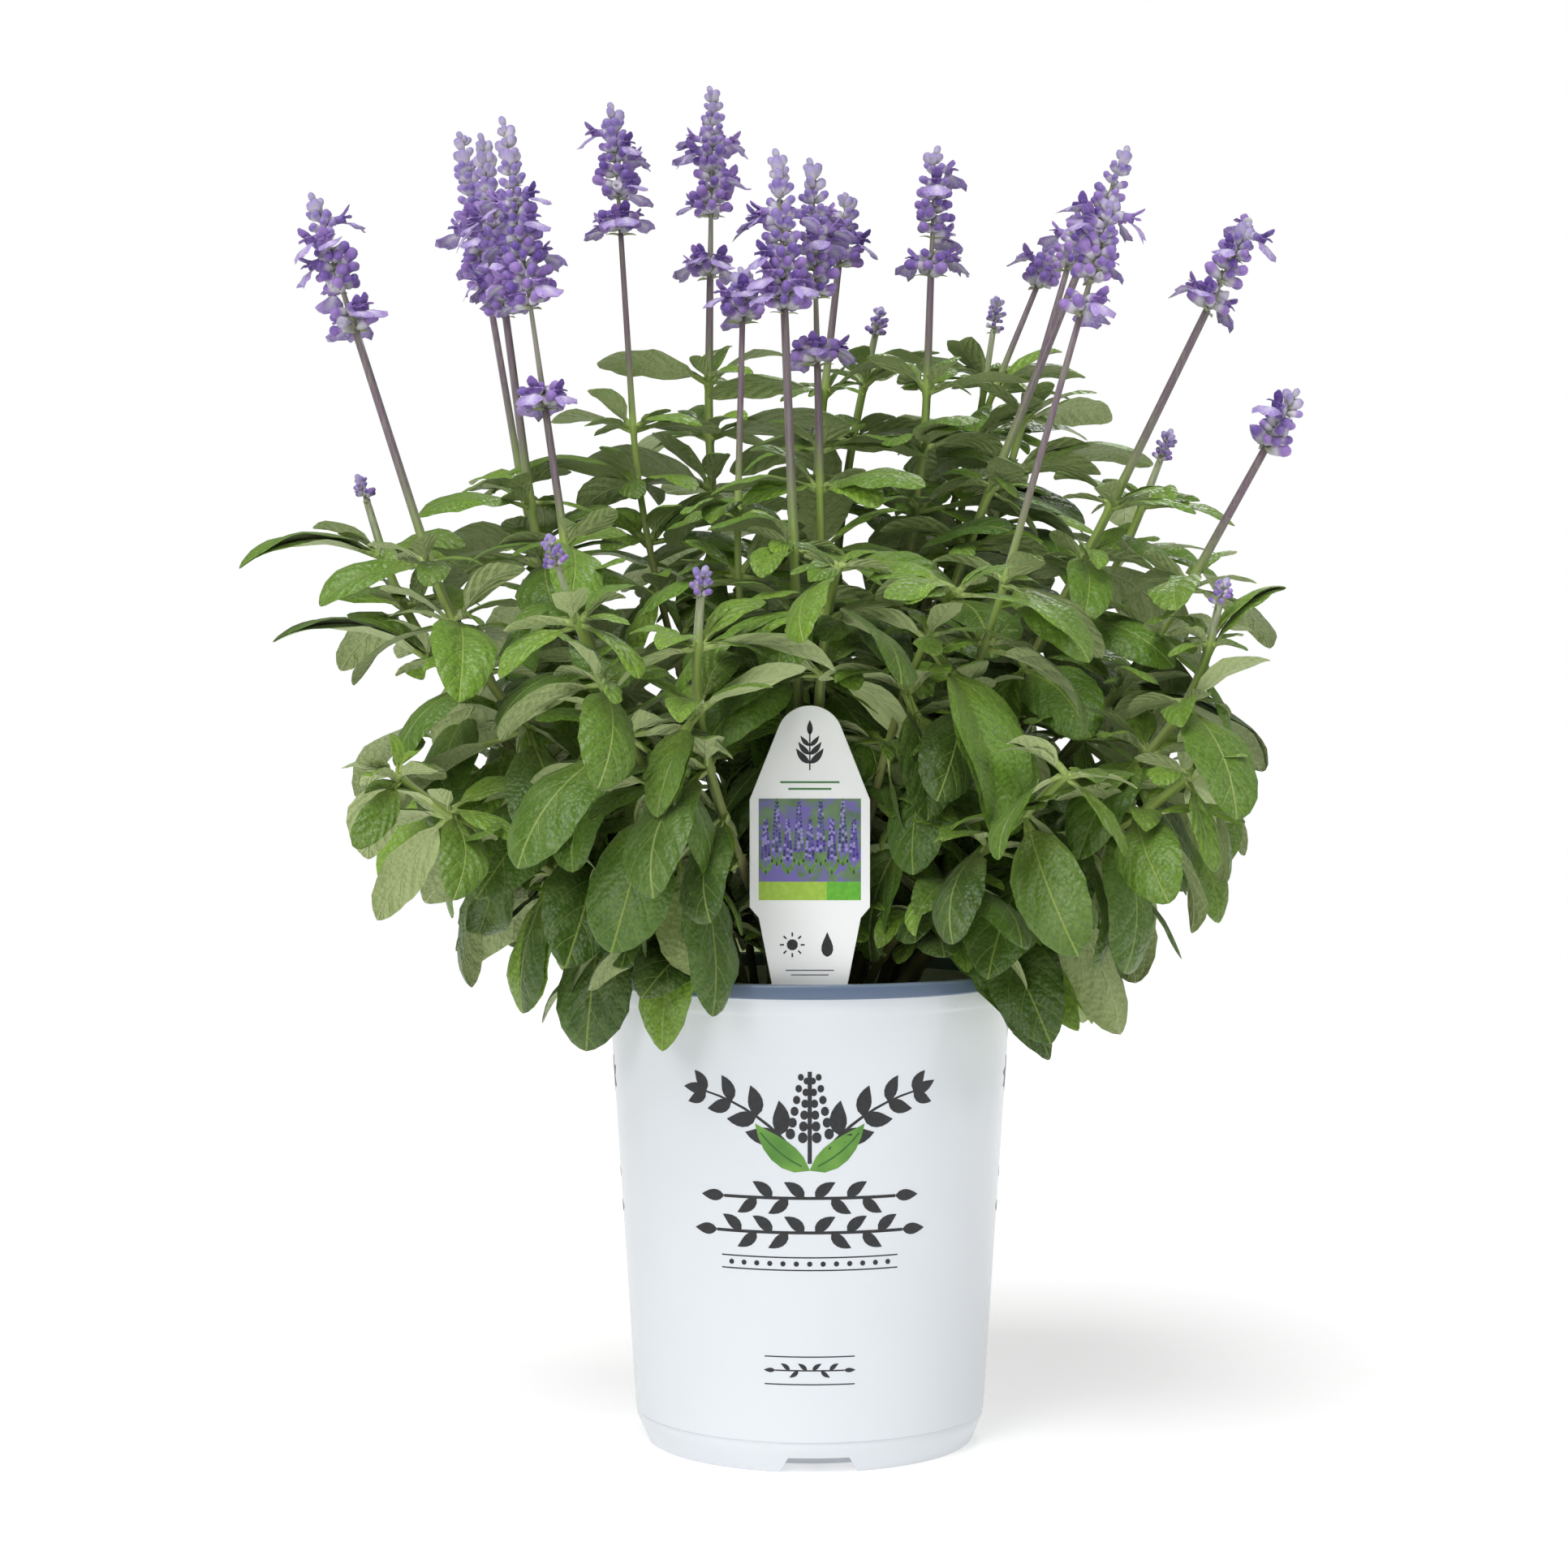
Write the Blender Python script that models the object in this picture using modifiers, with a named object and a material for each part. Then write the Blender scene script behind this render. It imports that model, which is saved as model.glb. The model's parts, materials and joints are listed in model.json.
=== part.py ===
"""Potted mealycup sage, a bushy bedding salvia in a plastic nursery pot, at its real size.

The pot holds a block of potting mix. Leafy stems and a plastic stake label stand in plain holes
in the mix, and each flowering stem carries a head of whorled flowers. Metres, +Z up. The origin
is on the floor under the pot's axis, -Y is the side that faces the viewer.
"""

import math
import random

import bmesh
import bpy
from mathutils import Euler, Matrix, Vector
from mathutils.bvhtree import BVHTree

MM = 0.001
FIT_GAP = 0.3 * MM

# Pot: its height and the outer radii that give its taper.
POT_HEIGHT = 185 * MM
POT_RIM_RADIUS = 82.5 * MM
POT_NECK_RADIUS = 79.8 * MM
POT_SHOULDER_RADIUS = 68.5 * MM
POT_FOOT_RADIUS = 64.3 * MM
POT_WALL = 1.5 * MM
POT_STEPS = 32
RIM_DEPTH = 5.5 * MM
RIM_BEVEL = 0.8 * MM
FOOT_BAND = 10 * MM
DRAIN_RISE = 7 * MM
PAD_RADIUS = 50 * MM
FOOT_RING = 3 * MM
NOTCHES = 4
NOTCH_TURN = math.radians(3)
NOTCH_FLOOR_WIDTH = 34 * MM
NOTCH_TOP_WIDTH = 23 * MM
NOTCH_HEIGHT = 6 * MM
NOTCH_INSET = 6 * MM
NOTCH_OVERRUN = 4 * MM
DRAIN_HOLE_RADIUS = 3.5 * MM

# Potting mix: a low mound, filled to just under the rim.
SOIL_EDGE_HEIGHT = 170 * MM
SOIL_MOUND = 4 * MM
MOUND_SHOULDER = 0.8
SOIL_STEPS = 18

# Stake label, measured from its rounded top down to its point in the mix.
LABEL_TOP = 288 * MM
LABEL_DISTANCE = 70 * MM
LABEL_THICKNESS = 0.8 * MM
LABEL_DOME_RADIUS = 12.5 * MM
LABEL_HALF_WIDTH = 22.4 * MM
LABEL_LEG_HALF_WIDTH = 19 * MM
LABEL_SHOULDER_DROP = 35 * MM
LABEL_CHIN_DROP = 75 * MM
LABEL_LEG_DROP = 79 * MM
LABEL_POINT_DROP = 165 * MM
LABEL_POINT_HALF_WIDTH = 2 * MM
LABEL_DOME_POINTS = 9
LABEL_DOME_ANGLE = math.radians(70)

# Stems are square in section, as in all sages. Each half width is centre to corner.
STEM_FOOT = 2.4 * MM
STEM_JOINT = 1.8 * MM
STEM_HEAD = 1.5 * MM
STEM_DEPTH = 24 * MM
STEM_COLLAR = 6 * MM
STEM_SAMPLES = 40
CROWN_SPREAD = 0.27
COLLAR_PULL = 0.3
JOINT_PULL = 0.35
LEAFY_LEAN = 1.2
GOLDEN_ANGLE = math.radians(137.5)

# Flowering stems, in millimetres: the joint of the last leaf pair, the tip of the flower head,
# the head's dense length, and its whole length down to a lone lower whorl.
FLOWERING = (
    ((-145, -40, 343), (-191, -30, 484), 38, 55),
    ((-118, 50, 378), (-145, 70, 526), 66, 66),
    ((-111, 10, 369), (-131, 20, 516), 72, 72),
    ((-93, -45, 350), (-117, -35, 512), 72, 112),
    ((-73, 60, 404), (-82, 70, 538), 38, 54),
    ((-43, 100, 427), (-42, 120, 555), 56, 84),
    ((-28, -15, 364), (-26, 0, 460), 20, 20),
    ((-6, -60, 348), (-12, -50, 497), 60, 60),
    ((4, -35, 372), (1, -25, 498), 52, 79),
    ((6, 35, 416), (15, 40, 496), 28, 28),
    ((23, 80, 424), (30, 80, 455), 11, 11),
    ((47, 25, 416), (50, 20, 511), 34, 50),
    ((75, 110, 426), (81, 115, 464), 14, 14),
    ((78, 85, 422), (105, 100, 487), 22, 22),
    ((72, 10, 375), (127, 20, 511), 42, 42),
    ((72, -75, 334), (113, -65, 477), 32, 46),
    ((89, 65, 408), (116, 80, 500), 30, 30),
    ((118, -10, 367), (172, -5, 477), 25, 38),
    ((146, -30, 335), (187, -30, 409), 24, 24),
    ((137, 50, 372), (148, 50, 401), 12, 12),
    ((-172, 25, 350), (-182, 30, 381), 10, 10),
    ((-83, -118, 318), (-93, -125, 348), 11, 11),
    ((149, -65, 311), (154, -70, 335), 9, 9),
    ((-40, -118, 310), (-38, -122, 337), 9, 9),
)

# Stems with leaves alone, in millimetres: where each one ends. Most lie low round the bush.
LEAFY_ONLY = (
    (-152, -80, 262),
    (-150, 78, 270),
    (-45, 150, 282),
    (48, 146, 275),
    (160, 22, 262),
    (140, -80, 262),
    (92, -112, 264),
    (10, -100, 338),
    (52, -104, 330),
)

# Flower heads: rings of buds, each bud a point raised between hollows.
BUD_ROW = 4.6 * MM
BUD_COLUMNS = 8
HEAD_RADIUS = 8.6 * MM
SMALL_HEAD_RADIUS = 4.8 * MM
SMALL_HEAD_LENGTH = 16 * MM
HEAD_TIP_RADIUS = 2.8 * MM
HOLLOW_SHARE = 0.6
HEAD_TAPER_POWER = 0.75
WHORL_LENGTH = 12 * MM
WHORL_RISES = (0.25, 0.6)
WHORL_WAIST = 0.9
FLOWER_EVERY = 24 * MM
FIRST_FLOWER_ROW = 1.5

# Open flower, in millimetres from the head's axis: where it starts, its throat's place and
# radius, how deep its mouth is, and its four lobes as (forward of the throat, sideways, up).
FLOWER_START = 0.5
THROAT_PLACE = 9
THROAT_RADIUS = 2.1
MOUTH_DEPTH = 3
FLOWER_LOBES = ((4, 5, -1), (5, 0, 3.6), (4, -5, -1), (6, 0, -4.2))

# Leaf forms, in millimetres and degrees: petiole, blade length, blade width, and how far the
# leaf arches over from its root to its tip.
LEAF_FORMS = (
    (5, 32, 14, 45),
    (6, 44, 21, 60),
    (8, 52, 26, 66),
    (11, 55, 31, 60),
    (15, 56, 34, 50),
    (18, 57, 32, 42),
)
WEDGE_FORMS = 3
LEAF_FOLD = math.radians(16)
LEAF_THICKNESS = 1.3 * MM
PETIOLE_HALF_WIDTH = 1.0 * MM
BLADE_STATIONS = (0.30, 0.68)
ARCH_STEPS = 24
ARCH_POWER = 1.5
LEAF_ROLL = math.radians(32)
LEAF_TURN = math.radians(60)
LEAF_LEAST_RISE = 0.3 * MM
LEAF_PAIRS = 7
PAIR_SPACING = 24 * MM
PAIR_HALF_HEIGHT = 1.6 * MM
BLADE_BASE_POWER = 0.55
BLADE_TIP_POWER = 0.90
BLADE_PEAK = 0.382

# Leaves that stand out of the bush or hang at its front, in millimetres: the stem's number, the
# pair counted from the stem's end, the leaf form, and where the tip is.
REACHING = (
    (21, 0, 2, (-225, 0, 342)),
    (21, 2, 2, (-212, 0, 313)),
    (23, 0, 1, (178, -60, 332)),
    (19, 2, 3, (178, 0, 262)),
    (24, 1, 4, (-54, -124, 248)),
    (25, 4, 4, (-84, -60, 158)),
    (25, 3, 4, (-108, -58, 172)),
    (33, 2, 4, (43, -90, 246)),
    (33, 1, 4, (68, -112, 240)),
    (8, 4, 4, (-44, -76, 196)),
    (16, 4, 4, (46, -78, 192)),
    (4, 5, 4, (-70, -72, 190)),
)

# Where leaves may lie: the bush as an ellipsoid, hollow inside where no leaf would be seen.
BUSH_CENTRE = Vector((-12, 0, 262)) * MM
BUSH_RADII = Vector((182, 160, 180)) * MM
BUSH_SKIRT = 85 * MM
BUSH_HOLLOW = 0.55
CLEARANCE = 0.5 * MM
OWN_STEM_SHARE = 0.25
LABEL_CLEARANCE = 2 * MM
LOWEST_TIP = 187 * MM
DROOP_HEIGHT = 205 * MM
RISE_HEIGHT = 425 * MM
DROOP_PITCH = math.radians(-58)
RISE_PITCH = math.radians(36)

# How a leaf's guesses stray, in radians: from the first by a step each, and how they shrink.
GUESSES = 20
FIRST_STRAY = 0.35
STRAY_STEP = 0.12
PITCH_SHARE = 0.6
OUTWARD_PULL = 0.4
SHRINK_STEP = 0.015
SMALLEST_SCALE = 0.92
LARGEST_SCALE = 1.12

COLOURS = {
    "pot": ((0.86, 0.89, 0.93), 0.35),
    "soil": ((0.10, 0.07, 0.05), 0.95),
    "label": ((0.90, 0.91, 0.92), 0.4),
    "leaf": ((0.13, 0.26, 0.09), 0.5),
    "flower": ((0.30, 0.22, 0.62), 0.7),
}


def vector_mm(numbers):
    return Vector(numbers) * MM


def start_scene():
    for obj in list(bpy.data.objects):
        bpy.data.objects.remove(obj)
    for name in ("potted mealycup sage", "cutters"):
        bpy.context.scene.collection.children.link(bpy.data.collections.new(name))
    return bpy.data.collections["potted mealycup sage"], bpy.data.collections["cutters"]


PARTS, CUTTERS = start_scene()


def material(name):
    found = bpy.data.materials.get(name)
    if found:
        return found
    made = bpy.data.materials.new(name)
    made.use_nodes = True
    colour, roughness = COLOURS[name]
    shader = made.node_tree.nodes["Principled BSDF"]
    shader.inputs["Base Color"].default_value = (*colour, 1)
    shader.inputs["Roughness"].default_value = roughness
    shader.inputs["Metallic"].default_value = 0
    return made


def add_object(name, mesh, collection, finish=None):
    obj = bpy.data.objects.new(name, mesh)
    collection.objects.link(obj)
    if finish:
        mesh.materials.append(material(finish))
    if collection is CUTTERS:
        obj.hide_render = True
        obj.display_type = "WIRE"
    return obj


def skin(bm, rows):
    """Faces between rows of vertices. A row of one vertex is a tip."""
    for low, high in zip(rows, rows[1:]):
        count = max(len(low), len(high))
        for i in range(count):
            j = (i + 1) % count
            corners = [low[i % len(low)], low[j % len(low)], high[j % len(high)], high[i % len(high)]]
            bm.faces.new(list(dict.fromkeys(corners)))


def to_mesh(bm, name):
    bmesh.ops.recalc_face_normals(bm, faces=bm.faces)
    mesh = bpy.data.meshes.new(name)
    bm.to_mesh(mesh)
    bm.free()
    return mesh


def loft(name, rings, knobbly=False):
    """A closed mesh through rings of points. An end ring of one point is a tip, others are capped.

    A knobbly one is split along the hollows between its raised points."""
    bm = bmesh.new()
    rows = [[bm.verts.new(point) for point in ring] for ring in rings]
    skin(bm, rows)
    for row in (rows[0], rows[-1]):
        if len(row) > 2:
            bm.faces.new(row)
    if knobbly:
        bmesh.ops.triangulate(bm, faces=bm.faces, quad_method="SHORT_EDGE")
    return to_mesh(bm, name)


def turned(name, profile, steps, collection, finish=None):
    """A solid of revolution from (radius, height) points that run down its outer side."""
    mesh = bpy.data.meshes.new(name)
    points = [(radius, 0, height) for radius, height in profile]
    mesh.from_pydata(points, [(i, i + 1) for i in range(len(points) - 1)], [])
    obj = add_object(name, mesh, collection, finish)
    screw = obj.modifiers.new("turn", "SCREW")
    screw.steps = screw.render_steps = steps
    screw.use_merge_vertices = True
    screw.merge_threshold = 0.01 * MM
    return obj


def as_mesh(obj, name):
    """The object as the viewport shows it, as a plain mesh in world space."""
    bpy.context.view_layer.update()
    graph = bpy.context.evaluated_depsgraph_get()
    mesh = bpy.data.meshes.new_from_object(obj.evaluated_get(graph))
    mesh.name = name
    mesh.transform(obj.matrix_world)
    return mesh


def boolean(obj, operation, operand):
    """Joins or cuts obj with an object or with every object of a collection."""
    modifier = obj.modifiers.new(operation.lower(), "BOOLEAN")
    modifier.operation = operation
    if isinstance(operand, bpy.types.Collection):
        modifier.operand_type = "COLLECTION"
        modifier.collection = operand
    else:
        modifier.object = operand


def fused(obj, pieces):
    """Unites obj with the pieces, which are then removed, as one plain mesh."""
    if not pieces:
        return obj
    group = bpy.data.collections.new(obj.name + " pieces")
    bpy.context.scene.collection.children.link(group)
    for piece in pieces:
        add_object(piece.name, piece, group)
    boolean(obj, "UNION", group)
    mesh = as_mesh(obj, obj.name)
    obj.modifiers.clear()
    obj.data = mesh
    for piece in list(group.objects):
        bpy.data.objects.remove(piece)
    bpy.data.collections.remove(group)
    return obj


def add_pot():
    """A thin moulded pot with a rolled rim, a foot ring with drain notches and a raised channel."""
    inner_low = POT_SHOULDER_RADIUS - POT_WALL
    inner_top = POT_NECK_RADIUS - POT_WALL
    channel_top = DRAIN_RISE + POT_WALL
    foot_inner = POT_FOOT_RADIUS - FOOT_RING
    profile = (
        (0, POT_WALL),
        (PAD_RADIUS - POT_WALL, POT_WALL),
        (PAD_RADIUS - POT_WALL, channel_top),
        (inner_low, channel_top),
        (inner_top, POT_HEIGHT),
        (POT_RIM_RADIUS - RIM_BEVEL, POT_HEIGHT),
        (POT_RIM_RADIUS, POT_HEIGHT - RIM_BEVEL),
        (POT_RIM_RADIUS, POT_HEIGHT - RIM_DEPTH),
        (POT_NECK_RADIUS, POT_HEIGHT - RIM_DEPTH - RIM_BEVEL),
        (POT_SHOULDER_RADIUS, FOOT_BAND),
        (POT_FOOT_RADIUS, 0),
        (foot_inner, 0),
        (foot_inner, DRAIN_RISE),
        (PAD_RADIUS, DRAIN_RISE),
        (PAD_RADIUS, 0),
        (0, 0),
    )
    pot = turned("pot", profile, POT_STEPS, PARTS, "pot")
    for i in range(NOTCHES):
        turn = NOTCH_TURN + i * 2 * math.pi / NOTCHES
        boolean(pot, "DIFFERENCE", notch_cutter(i, turn))
        boolean(pot, "DIFFERENCE", drain_cutter(i, turn, foot_inner))
    return pot


def notch_cutter(index, turn):
    """A wedge through the foot ring, wider at the floor than at its top."""
    near, far = PAD_RADIUS + NOTCH_INSET, POT_SHOULDER_RADIUS + NOTCH_OVERRUN
    outline = (
        (-NOTCH_FLOOR_WIDTH / 2, -NOTCH_OVERRUN),
        (NOTCH_FLOOR_WIDTH / 2, -NOTCH_OVERRUN),
        (NOTCH_TOP_WIDTH / 2, NOTCH_HEIGHT),
        (-NOTCH_TOP_WIDTH / 2, NOTCH_HEIGHT),
    )
    rings = [[Vector((x, -depth, z)) for x, z in outline] for depth in (near, far)]
    mesh = loft(f"notch_{index}", rings)
    mesh.transform(Matrix.Rotation(turn, 4, "Z"))
    return add_object(mesh.name, mesh, CUTTERS)


def drain_cutter(index, turn, foot_inner):
    """A round drain hole through the floor of the channel, behind each notch."""
    distance = (PAD_RADIUS + foot_inner) / 2
    place = Vector((distance * math.sin(turn), -distance * math.cos(turn), DRAIN_RISE))
    bm = bmesh.new()
    bmesh.ops.create_cone(
        bm,
        cap_ends=True,
        segments=8,
        radius1=DRAIN_HOLE_RADIUS,
        radius2=DRAIN_HOLE_RADIUS,
        depth=4 * POT_WALL,
        matrix=Matrix.Translation(place),
    )
    return add_object(f"drain_{index}", to_mesh(bm, f"drain_{index}"), CUTTERS)


def add_soil():
    """The potting mix, a gap inside the pot's wall all round, with a boss in the floor's recess."""
    slope = (POT_NECK_RADIUS - POT_SHOULDER_RADIUS) / (POT_HEIGHT - FOOT_BAND)
    floor_height = DRAIN_RISE + POT_WALL + FIT_GAP
    wall_gap = POT_WALL + 2 * FIT_GAP
    low_radius = POT_SHOULDER_RADIUS - wall_gap
    top_radius = low_radius + slope * (SOIL_EDGE_HEIGHT - FOOT_BAND)
    boss_radius = PAD_RADIUS - wall_gap
    profile = (
        (0, SOIL_EDGE_HEIGHT + SOIL_MOUND),
        (top_radius / 2, SOIL_EDGE_HEIGHT + MOUND_SHOULDER * SOIL_MOUND),
        (top_radius, SOIL_EDGE_HEIGHT),
        (low_radius, floor_height),
        (boss_radius, floor_height),
        (boss_radius, POT_WALL + FIT_GAP),
        (0, POT_WALL + FIT_GAP),
    )
    return turned("potting_mix", profile, SOIL_STEPS, PARTS, "soil")


def label_outline(grow=0.0):
    """The label's outline from its dome down to its point, right side then left, as (x, drop)."""
    step = LABEL_DOME_ANGLE / (LABEL_DOME_POINTS - 1)
    angles = [step * i for i in range(LABEL_DOME_POINTS)]
    dome = [(LABEL_DOME_RADIUS * math.sin(a), LABEL_DOME_RADIUS * (1 - math.cos(a))) for a in angles]
    side = dome[1:] + [
        (LABEL_HALF_WIDTH, LABEL_SHOULDER_DROP),
        (LABEL_HALF_WIDTH, LABEL_CHIN_DROP),
        (LABEL_LEG_HALF_WIDTH, LABEL_LEG_DROP),
        (LABEL_POINT_HALF_WIDTH, LABEL_POINT_DROP + grow),
    ]
    right = [(x + grow, drop) for x, drop in side]
    return [dome[0]] + right + [(-x, drop) for x, drop in reversed(right)]


def label_solid(name, collection, grow=0.0, finish=None):
    """A flat plate in the label's outline, standing upright behind the front of the rim."""
    depth = LABEL_THICKNESS / 2 + grow
    rings = [
        [Vector((x, -LABEL_DISTANCE + y, LABEL_TOP - drop)) for x, drop in label_outline(grow)]
        for y in (-depth, depth)
    ]
    return add_object(name, loft(name, rings), collection, finish)


def bezier(a, b, c, d, t):
    s = 1 - t
    return a * s**3 + b * 3 * s * s * t + c * 3 * s * t * t + d * t**3


def straight_up(direction, place):
    """A frame with its +Z along direction and its origin at place."""
    return Matrix.Translation(place) @ direction.to_track_quat("Z", "Y").to_matrix().to_4x4()


def square_ring(frame, half):
    corners = ((half, 0, 0), (0, half, 0), (-half, 0, 0), (0, -half, 0))
    return [frame @ Vector(corner) for corner in corners]


def bud_ring(height, radius, turn):
    """A ring whose every other point is a bud, with a hollow in the head between two buds."""
    points = []
    for i in range(BUD_COLUMNS):
        angle = 2 * math.pi * i / BUD_COLUMNS
        reach = radius if (i + turn) % 2 == 0 else radius * HOLLOW_SHARE
        points.append(Vector((reach * math.cos(angle), reach * math.sin(angle), height)))
    return points


def head_width(share, widest):
    """The head's radius to its bud tips, from its base at 0 to its tip at 1."""
    return HEAD_TIP_RADIUS + (widest - HEAD_TIP_RADIUS) * (1 - share) ** HEAD_TAPER_POWER


def flower_solid(name, frame, angle, height):
    """An open flower: a tube that widens from the head's axis to four lobes round a hollow mouth."""
    around = ((1, 0), (0, 1), (-1, 0), (0, -1))
    throat = [(THROAT_PLACE, y * THROAT_RADIUS, z * THROAT_RADIUS) for y, z in around]
    lobes = [(THROAT_PLACE + forward, y, z) for forward, y, z in FLOWER_LOBES]
    rings = [[(FLOWER_START, 0, 0)], throat, lobes, [(THROAT_PLACE + MOUTH_DEPTH, 0, 0)]]
    mesh = loft(name, [[vector_mm(point) for point in ring] for ring in rings])
    mesh.transform(frame @ Matrix.Translation((0, 0, height)) @ Matrix.Rotation(angle, 4, "Z"))
    return mesh


def head_rings(dense, whole, widest):
    """Rings up a head: a lone lower whorl where there is one, bare stalk, and a taper of buds."""
    rings = [bud_ring(0, STEM_HEAD, 0)]
    if whole > dense:
        rings.append(bud_ring(WHORL_LENGTH * WHORL_RISES[0], widest, 0))
        rings.append(bud_ring(WHORL_LENGTH * WHORL_RISES[1], widest * WHORL_WAIST, 1))
        rings.append(bud_ring(WHORL_LENGTH, STEM_HEAD, 0))
        rings.append(bud_ring(whole - dense, STEM_HEAD, 0))
    rows = max(2, round(dense / BUD_ROW))
    for row in range(1, rows):
        share = row / rows
        rings.append(bud_ring(whole - dense * (1 - share), head_width(share, widest), row))
    rings.append([Vector((0, 0, whole))])
    return rings


def open_flowers(index, name, frame, dense, whole):
    """A few flowers open low on the head, a golden angle apart, and two on a lone whorl."""
    lone = 2 if whole > dense else 0
    flowers = []
    for i in range(lone + 1 + int(dense / FLOWER_EVERY)):
        height = WHORL_LENGTH / 2 if i < lone else whole - dense + BUD_ROW * (FIRST_FLOWER_ROW + i)
        flowers.append(flower_solid(f"{name}_open_{i}", frame, index + i * GOLDEN_ANGLE, height))
    return flowers


def add_head(index, tip, heading, dense, whole):
    """One flower head. The small ones are still closed buds."""
    name = f"flower_head_{index:02d}"
    small = whole <= SMALL_HEAD_LENGTH
    frame = straight_up(heading, tip - heading * whole)
    widest = SMALL_HEAD_RADIUS if small else HEAD_RADIUS
    head = loft(name, head_rings(dense, whole, widest), knobbly=True)
    head.transform(frame)
    flowers = [] if small else open_flowers(index, name, frame, dense, whole)
    return fused(add_object(name, head, PARTS, "flower"), flowers)


def blade_half_width(form, v):
    """Half the blade's width at v, from 0 at the petiole to 1 at the tip."""
    return form[2] * MM / 2 * v**BLADE_BASE_POWER * (1 - v) ** BLADE_TIP_POWER / BLADE_PEAK


def arch(form):
    """Evenly spaced (point, pitch) along a leaf's midrib, which starts along +X and bends down."""
    step = (form[0] + form[1]) * MM / ARCH_STEPS
    point, places = Vector(), []
    for i in range(ARCH_STEPS + 1):
        pitch = -math.radians(form[3]) * (i / ARCH_STEPS) ** ARCH_POWER
        places.append((point.copy(), pitch))
        point += Vector((math.cos(pitch), 0, math.sin(pitch))) * step
    return places


def arch_at(places, u):
    """The midrib's point and pitch at u, from 0 at the root to 1 at the tip."""
    index = min(int(u * ARCH_STEPS), ARCH_STEPS - 1)
    part = u * ARCH_STEPS - index
    (a, first), (b, second) = places[index], places[index + 1]
    return a.lerp(b, part), first + (second - first) * part


def leaf_rings(form, fatten=0.0):
    """Rings up a leaf: a slim petiole, then a blade folded along its rib and thickest there."""
    places = arch(form)
    start = form[0] / (form[0] + form[1])
    point, pitch = arch_at(places, start)
    half = PETIOLE_HALF_WIDTH + fatten
    normal, side = Vector((-math.sin(pitch), 0, math.cos(pitch))) * half, Vector((0, half, 0))
    rings = [[point + side, point + normal, point - side, point - normal]]
    for v in BLADE_STATIONS:
        point, pitch = arch_at(places, start + (1 - start) * v)
        half = blade_half_width(form, v) + fatten
        normal = Vector((-math.sin(pitch), 0, math.cos(pitch)))
        side = Vector((0, half * math.cos(LEAF_FOLD), 0))
        lift = normal * half * math.sin(LEAF_FOLD)
        top, bottom = point + normal * fatten, point - normal * (LEAF_THICKNESS + fatten)
        rings.append([point + side + lift, top, point - side + lift, bottom])
    tip, pitch = arch_at(places, 1)
    rings.append([tip + Vector((math.cos(pitch), 0, math.sin(pitch))) * fatten])
    return rings


def leaf_guess(key, level, guess, root, face):
    """One way for a leaf to grow: (form, scale, azimuth, pitch, roll). Later guesses stray more.

    face is the direction that the stem's face looks, from which the leaf grows."""
    rng = random.Random(f"{key} {guess}")
    stray = FIRST_STRAY + guess * STRAY_STEP
    outward = math.atan2(root.y, root.x - BUSH_CENTRE.x)
    azimuth = math.atan2(face.y, face.x)
    turn = OUTWARD_PULL * math.remainder(outward - azimuth, math.tau) + rng.uniform(-stray, stray)
    azimuth += max(-LEAF_TURN, min(LEAF_TURN, turn))
    height = max(0, min(1, (root.z - DROOP_HEIGHT) / (RISE_HEIGHT - DROOP_HEIGHT)))
    pitch = DROOP_PITCH + (RISE_PITCH - DROOP_PITCH) * height + rng.uniform(-stray, stray) * PITCH_SHARE
    scale = rng.uniform(SMALLEST_SCALE, LARGEST_SCALE) * (1 - SHRINK_STEP * guess)
    roll = rng.uniform(-LEAF_ROLL, LEAF_ROLL)
    form = LEAF_FORMS[min(level + rng.randrange(2), len(LEAF_FORMS) - 1)]
    return form, scale, azimuth, pitch, roll


def aimed_leaf(form, root, tip):
    """The way for a leaf to grow that puts its tip at a given point: as leaf_guess."""
    chord, aim = arch(form)[-1][0], tip - root
    pitch = math.atan2(aim.z, math.hypot(aim.x, aim.y)) - math.atan2(chord.z, chord.x)
    return form, aim.length / chord.length, math.atan2(aim.y, aim.x), pitch, 0.0


def leaf_frame(root, way):
    _, scale, azimuth, pitch, roll = way
    turn = Euler((roll, -pitch, azimuth), "XYZ").to_matrix().to_4x4()
    return Matrix.Translation(root) @ turn @ Matrix.Scale(scale, 4)


def inside_bush(point):
    """0 at the bush's centre and 1 on its outline, which draws in to the rim below the centre."""
    offset = point - BUSH_CENTRE
    rise = BUSH_RADII.z if offset.z > 0 else BUSH_SKIRT
    return Vector((offset.x / BUSH_RADII.x, offset.y / BUSH_RADII.y, offset.z / rise)).length


class Crowd:
    """What stands in the pot so far, to keep each new leaf clear of it."""

    def __init__(self):
        self.members = []

    def add(self, owner, mesh):
        points = [vertex.co.copy() for vertex in mesh.vertices]
        self.members.append((owner, *self.box(points), self.tree(mesh, points)))

    @staticmethod
    def box(points):
        low = Vector(min(p[i] for p in points) for i in range(3))
        high = Vector(max(p[i] for p in points) for i in range(3))
        return low, high

    @staticmethod
    def tree(mesh, points):
        return BVHTree.FromPolygons(points, [tuple(face.vertices) for face in mesh.polygons])

    def meets(self, mesh, ignored=()):
        points = [vertex.co.copy() for vertex in mesh.vertices]
        low, high = self.box(points)
        tree = self.tree(mesh, points)
        for owner, other_low, other_high, other_tree in self.members:
            apart = any(low[i] > other_high[i] or high[i] < other_low[i] for i in range(3))
            if owner not in ignored and not apart and tree.overlap(other_tree):
                return True
        return False


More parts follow.
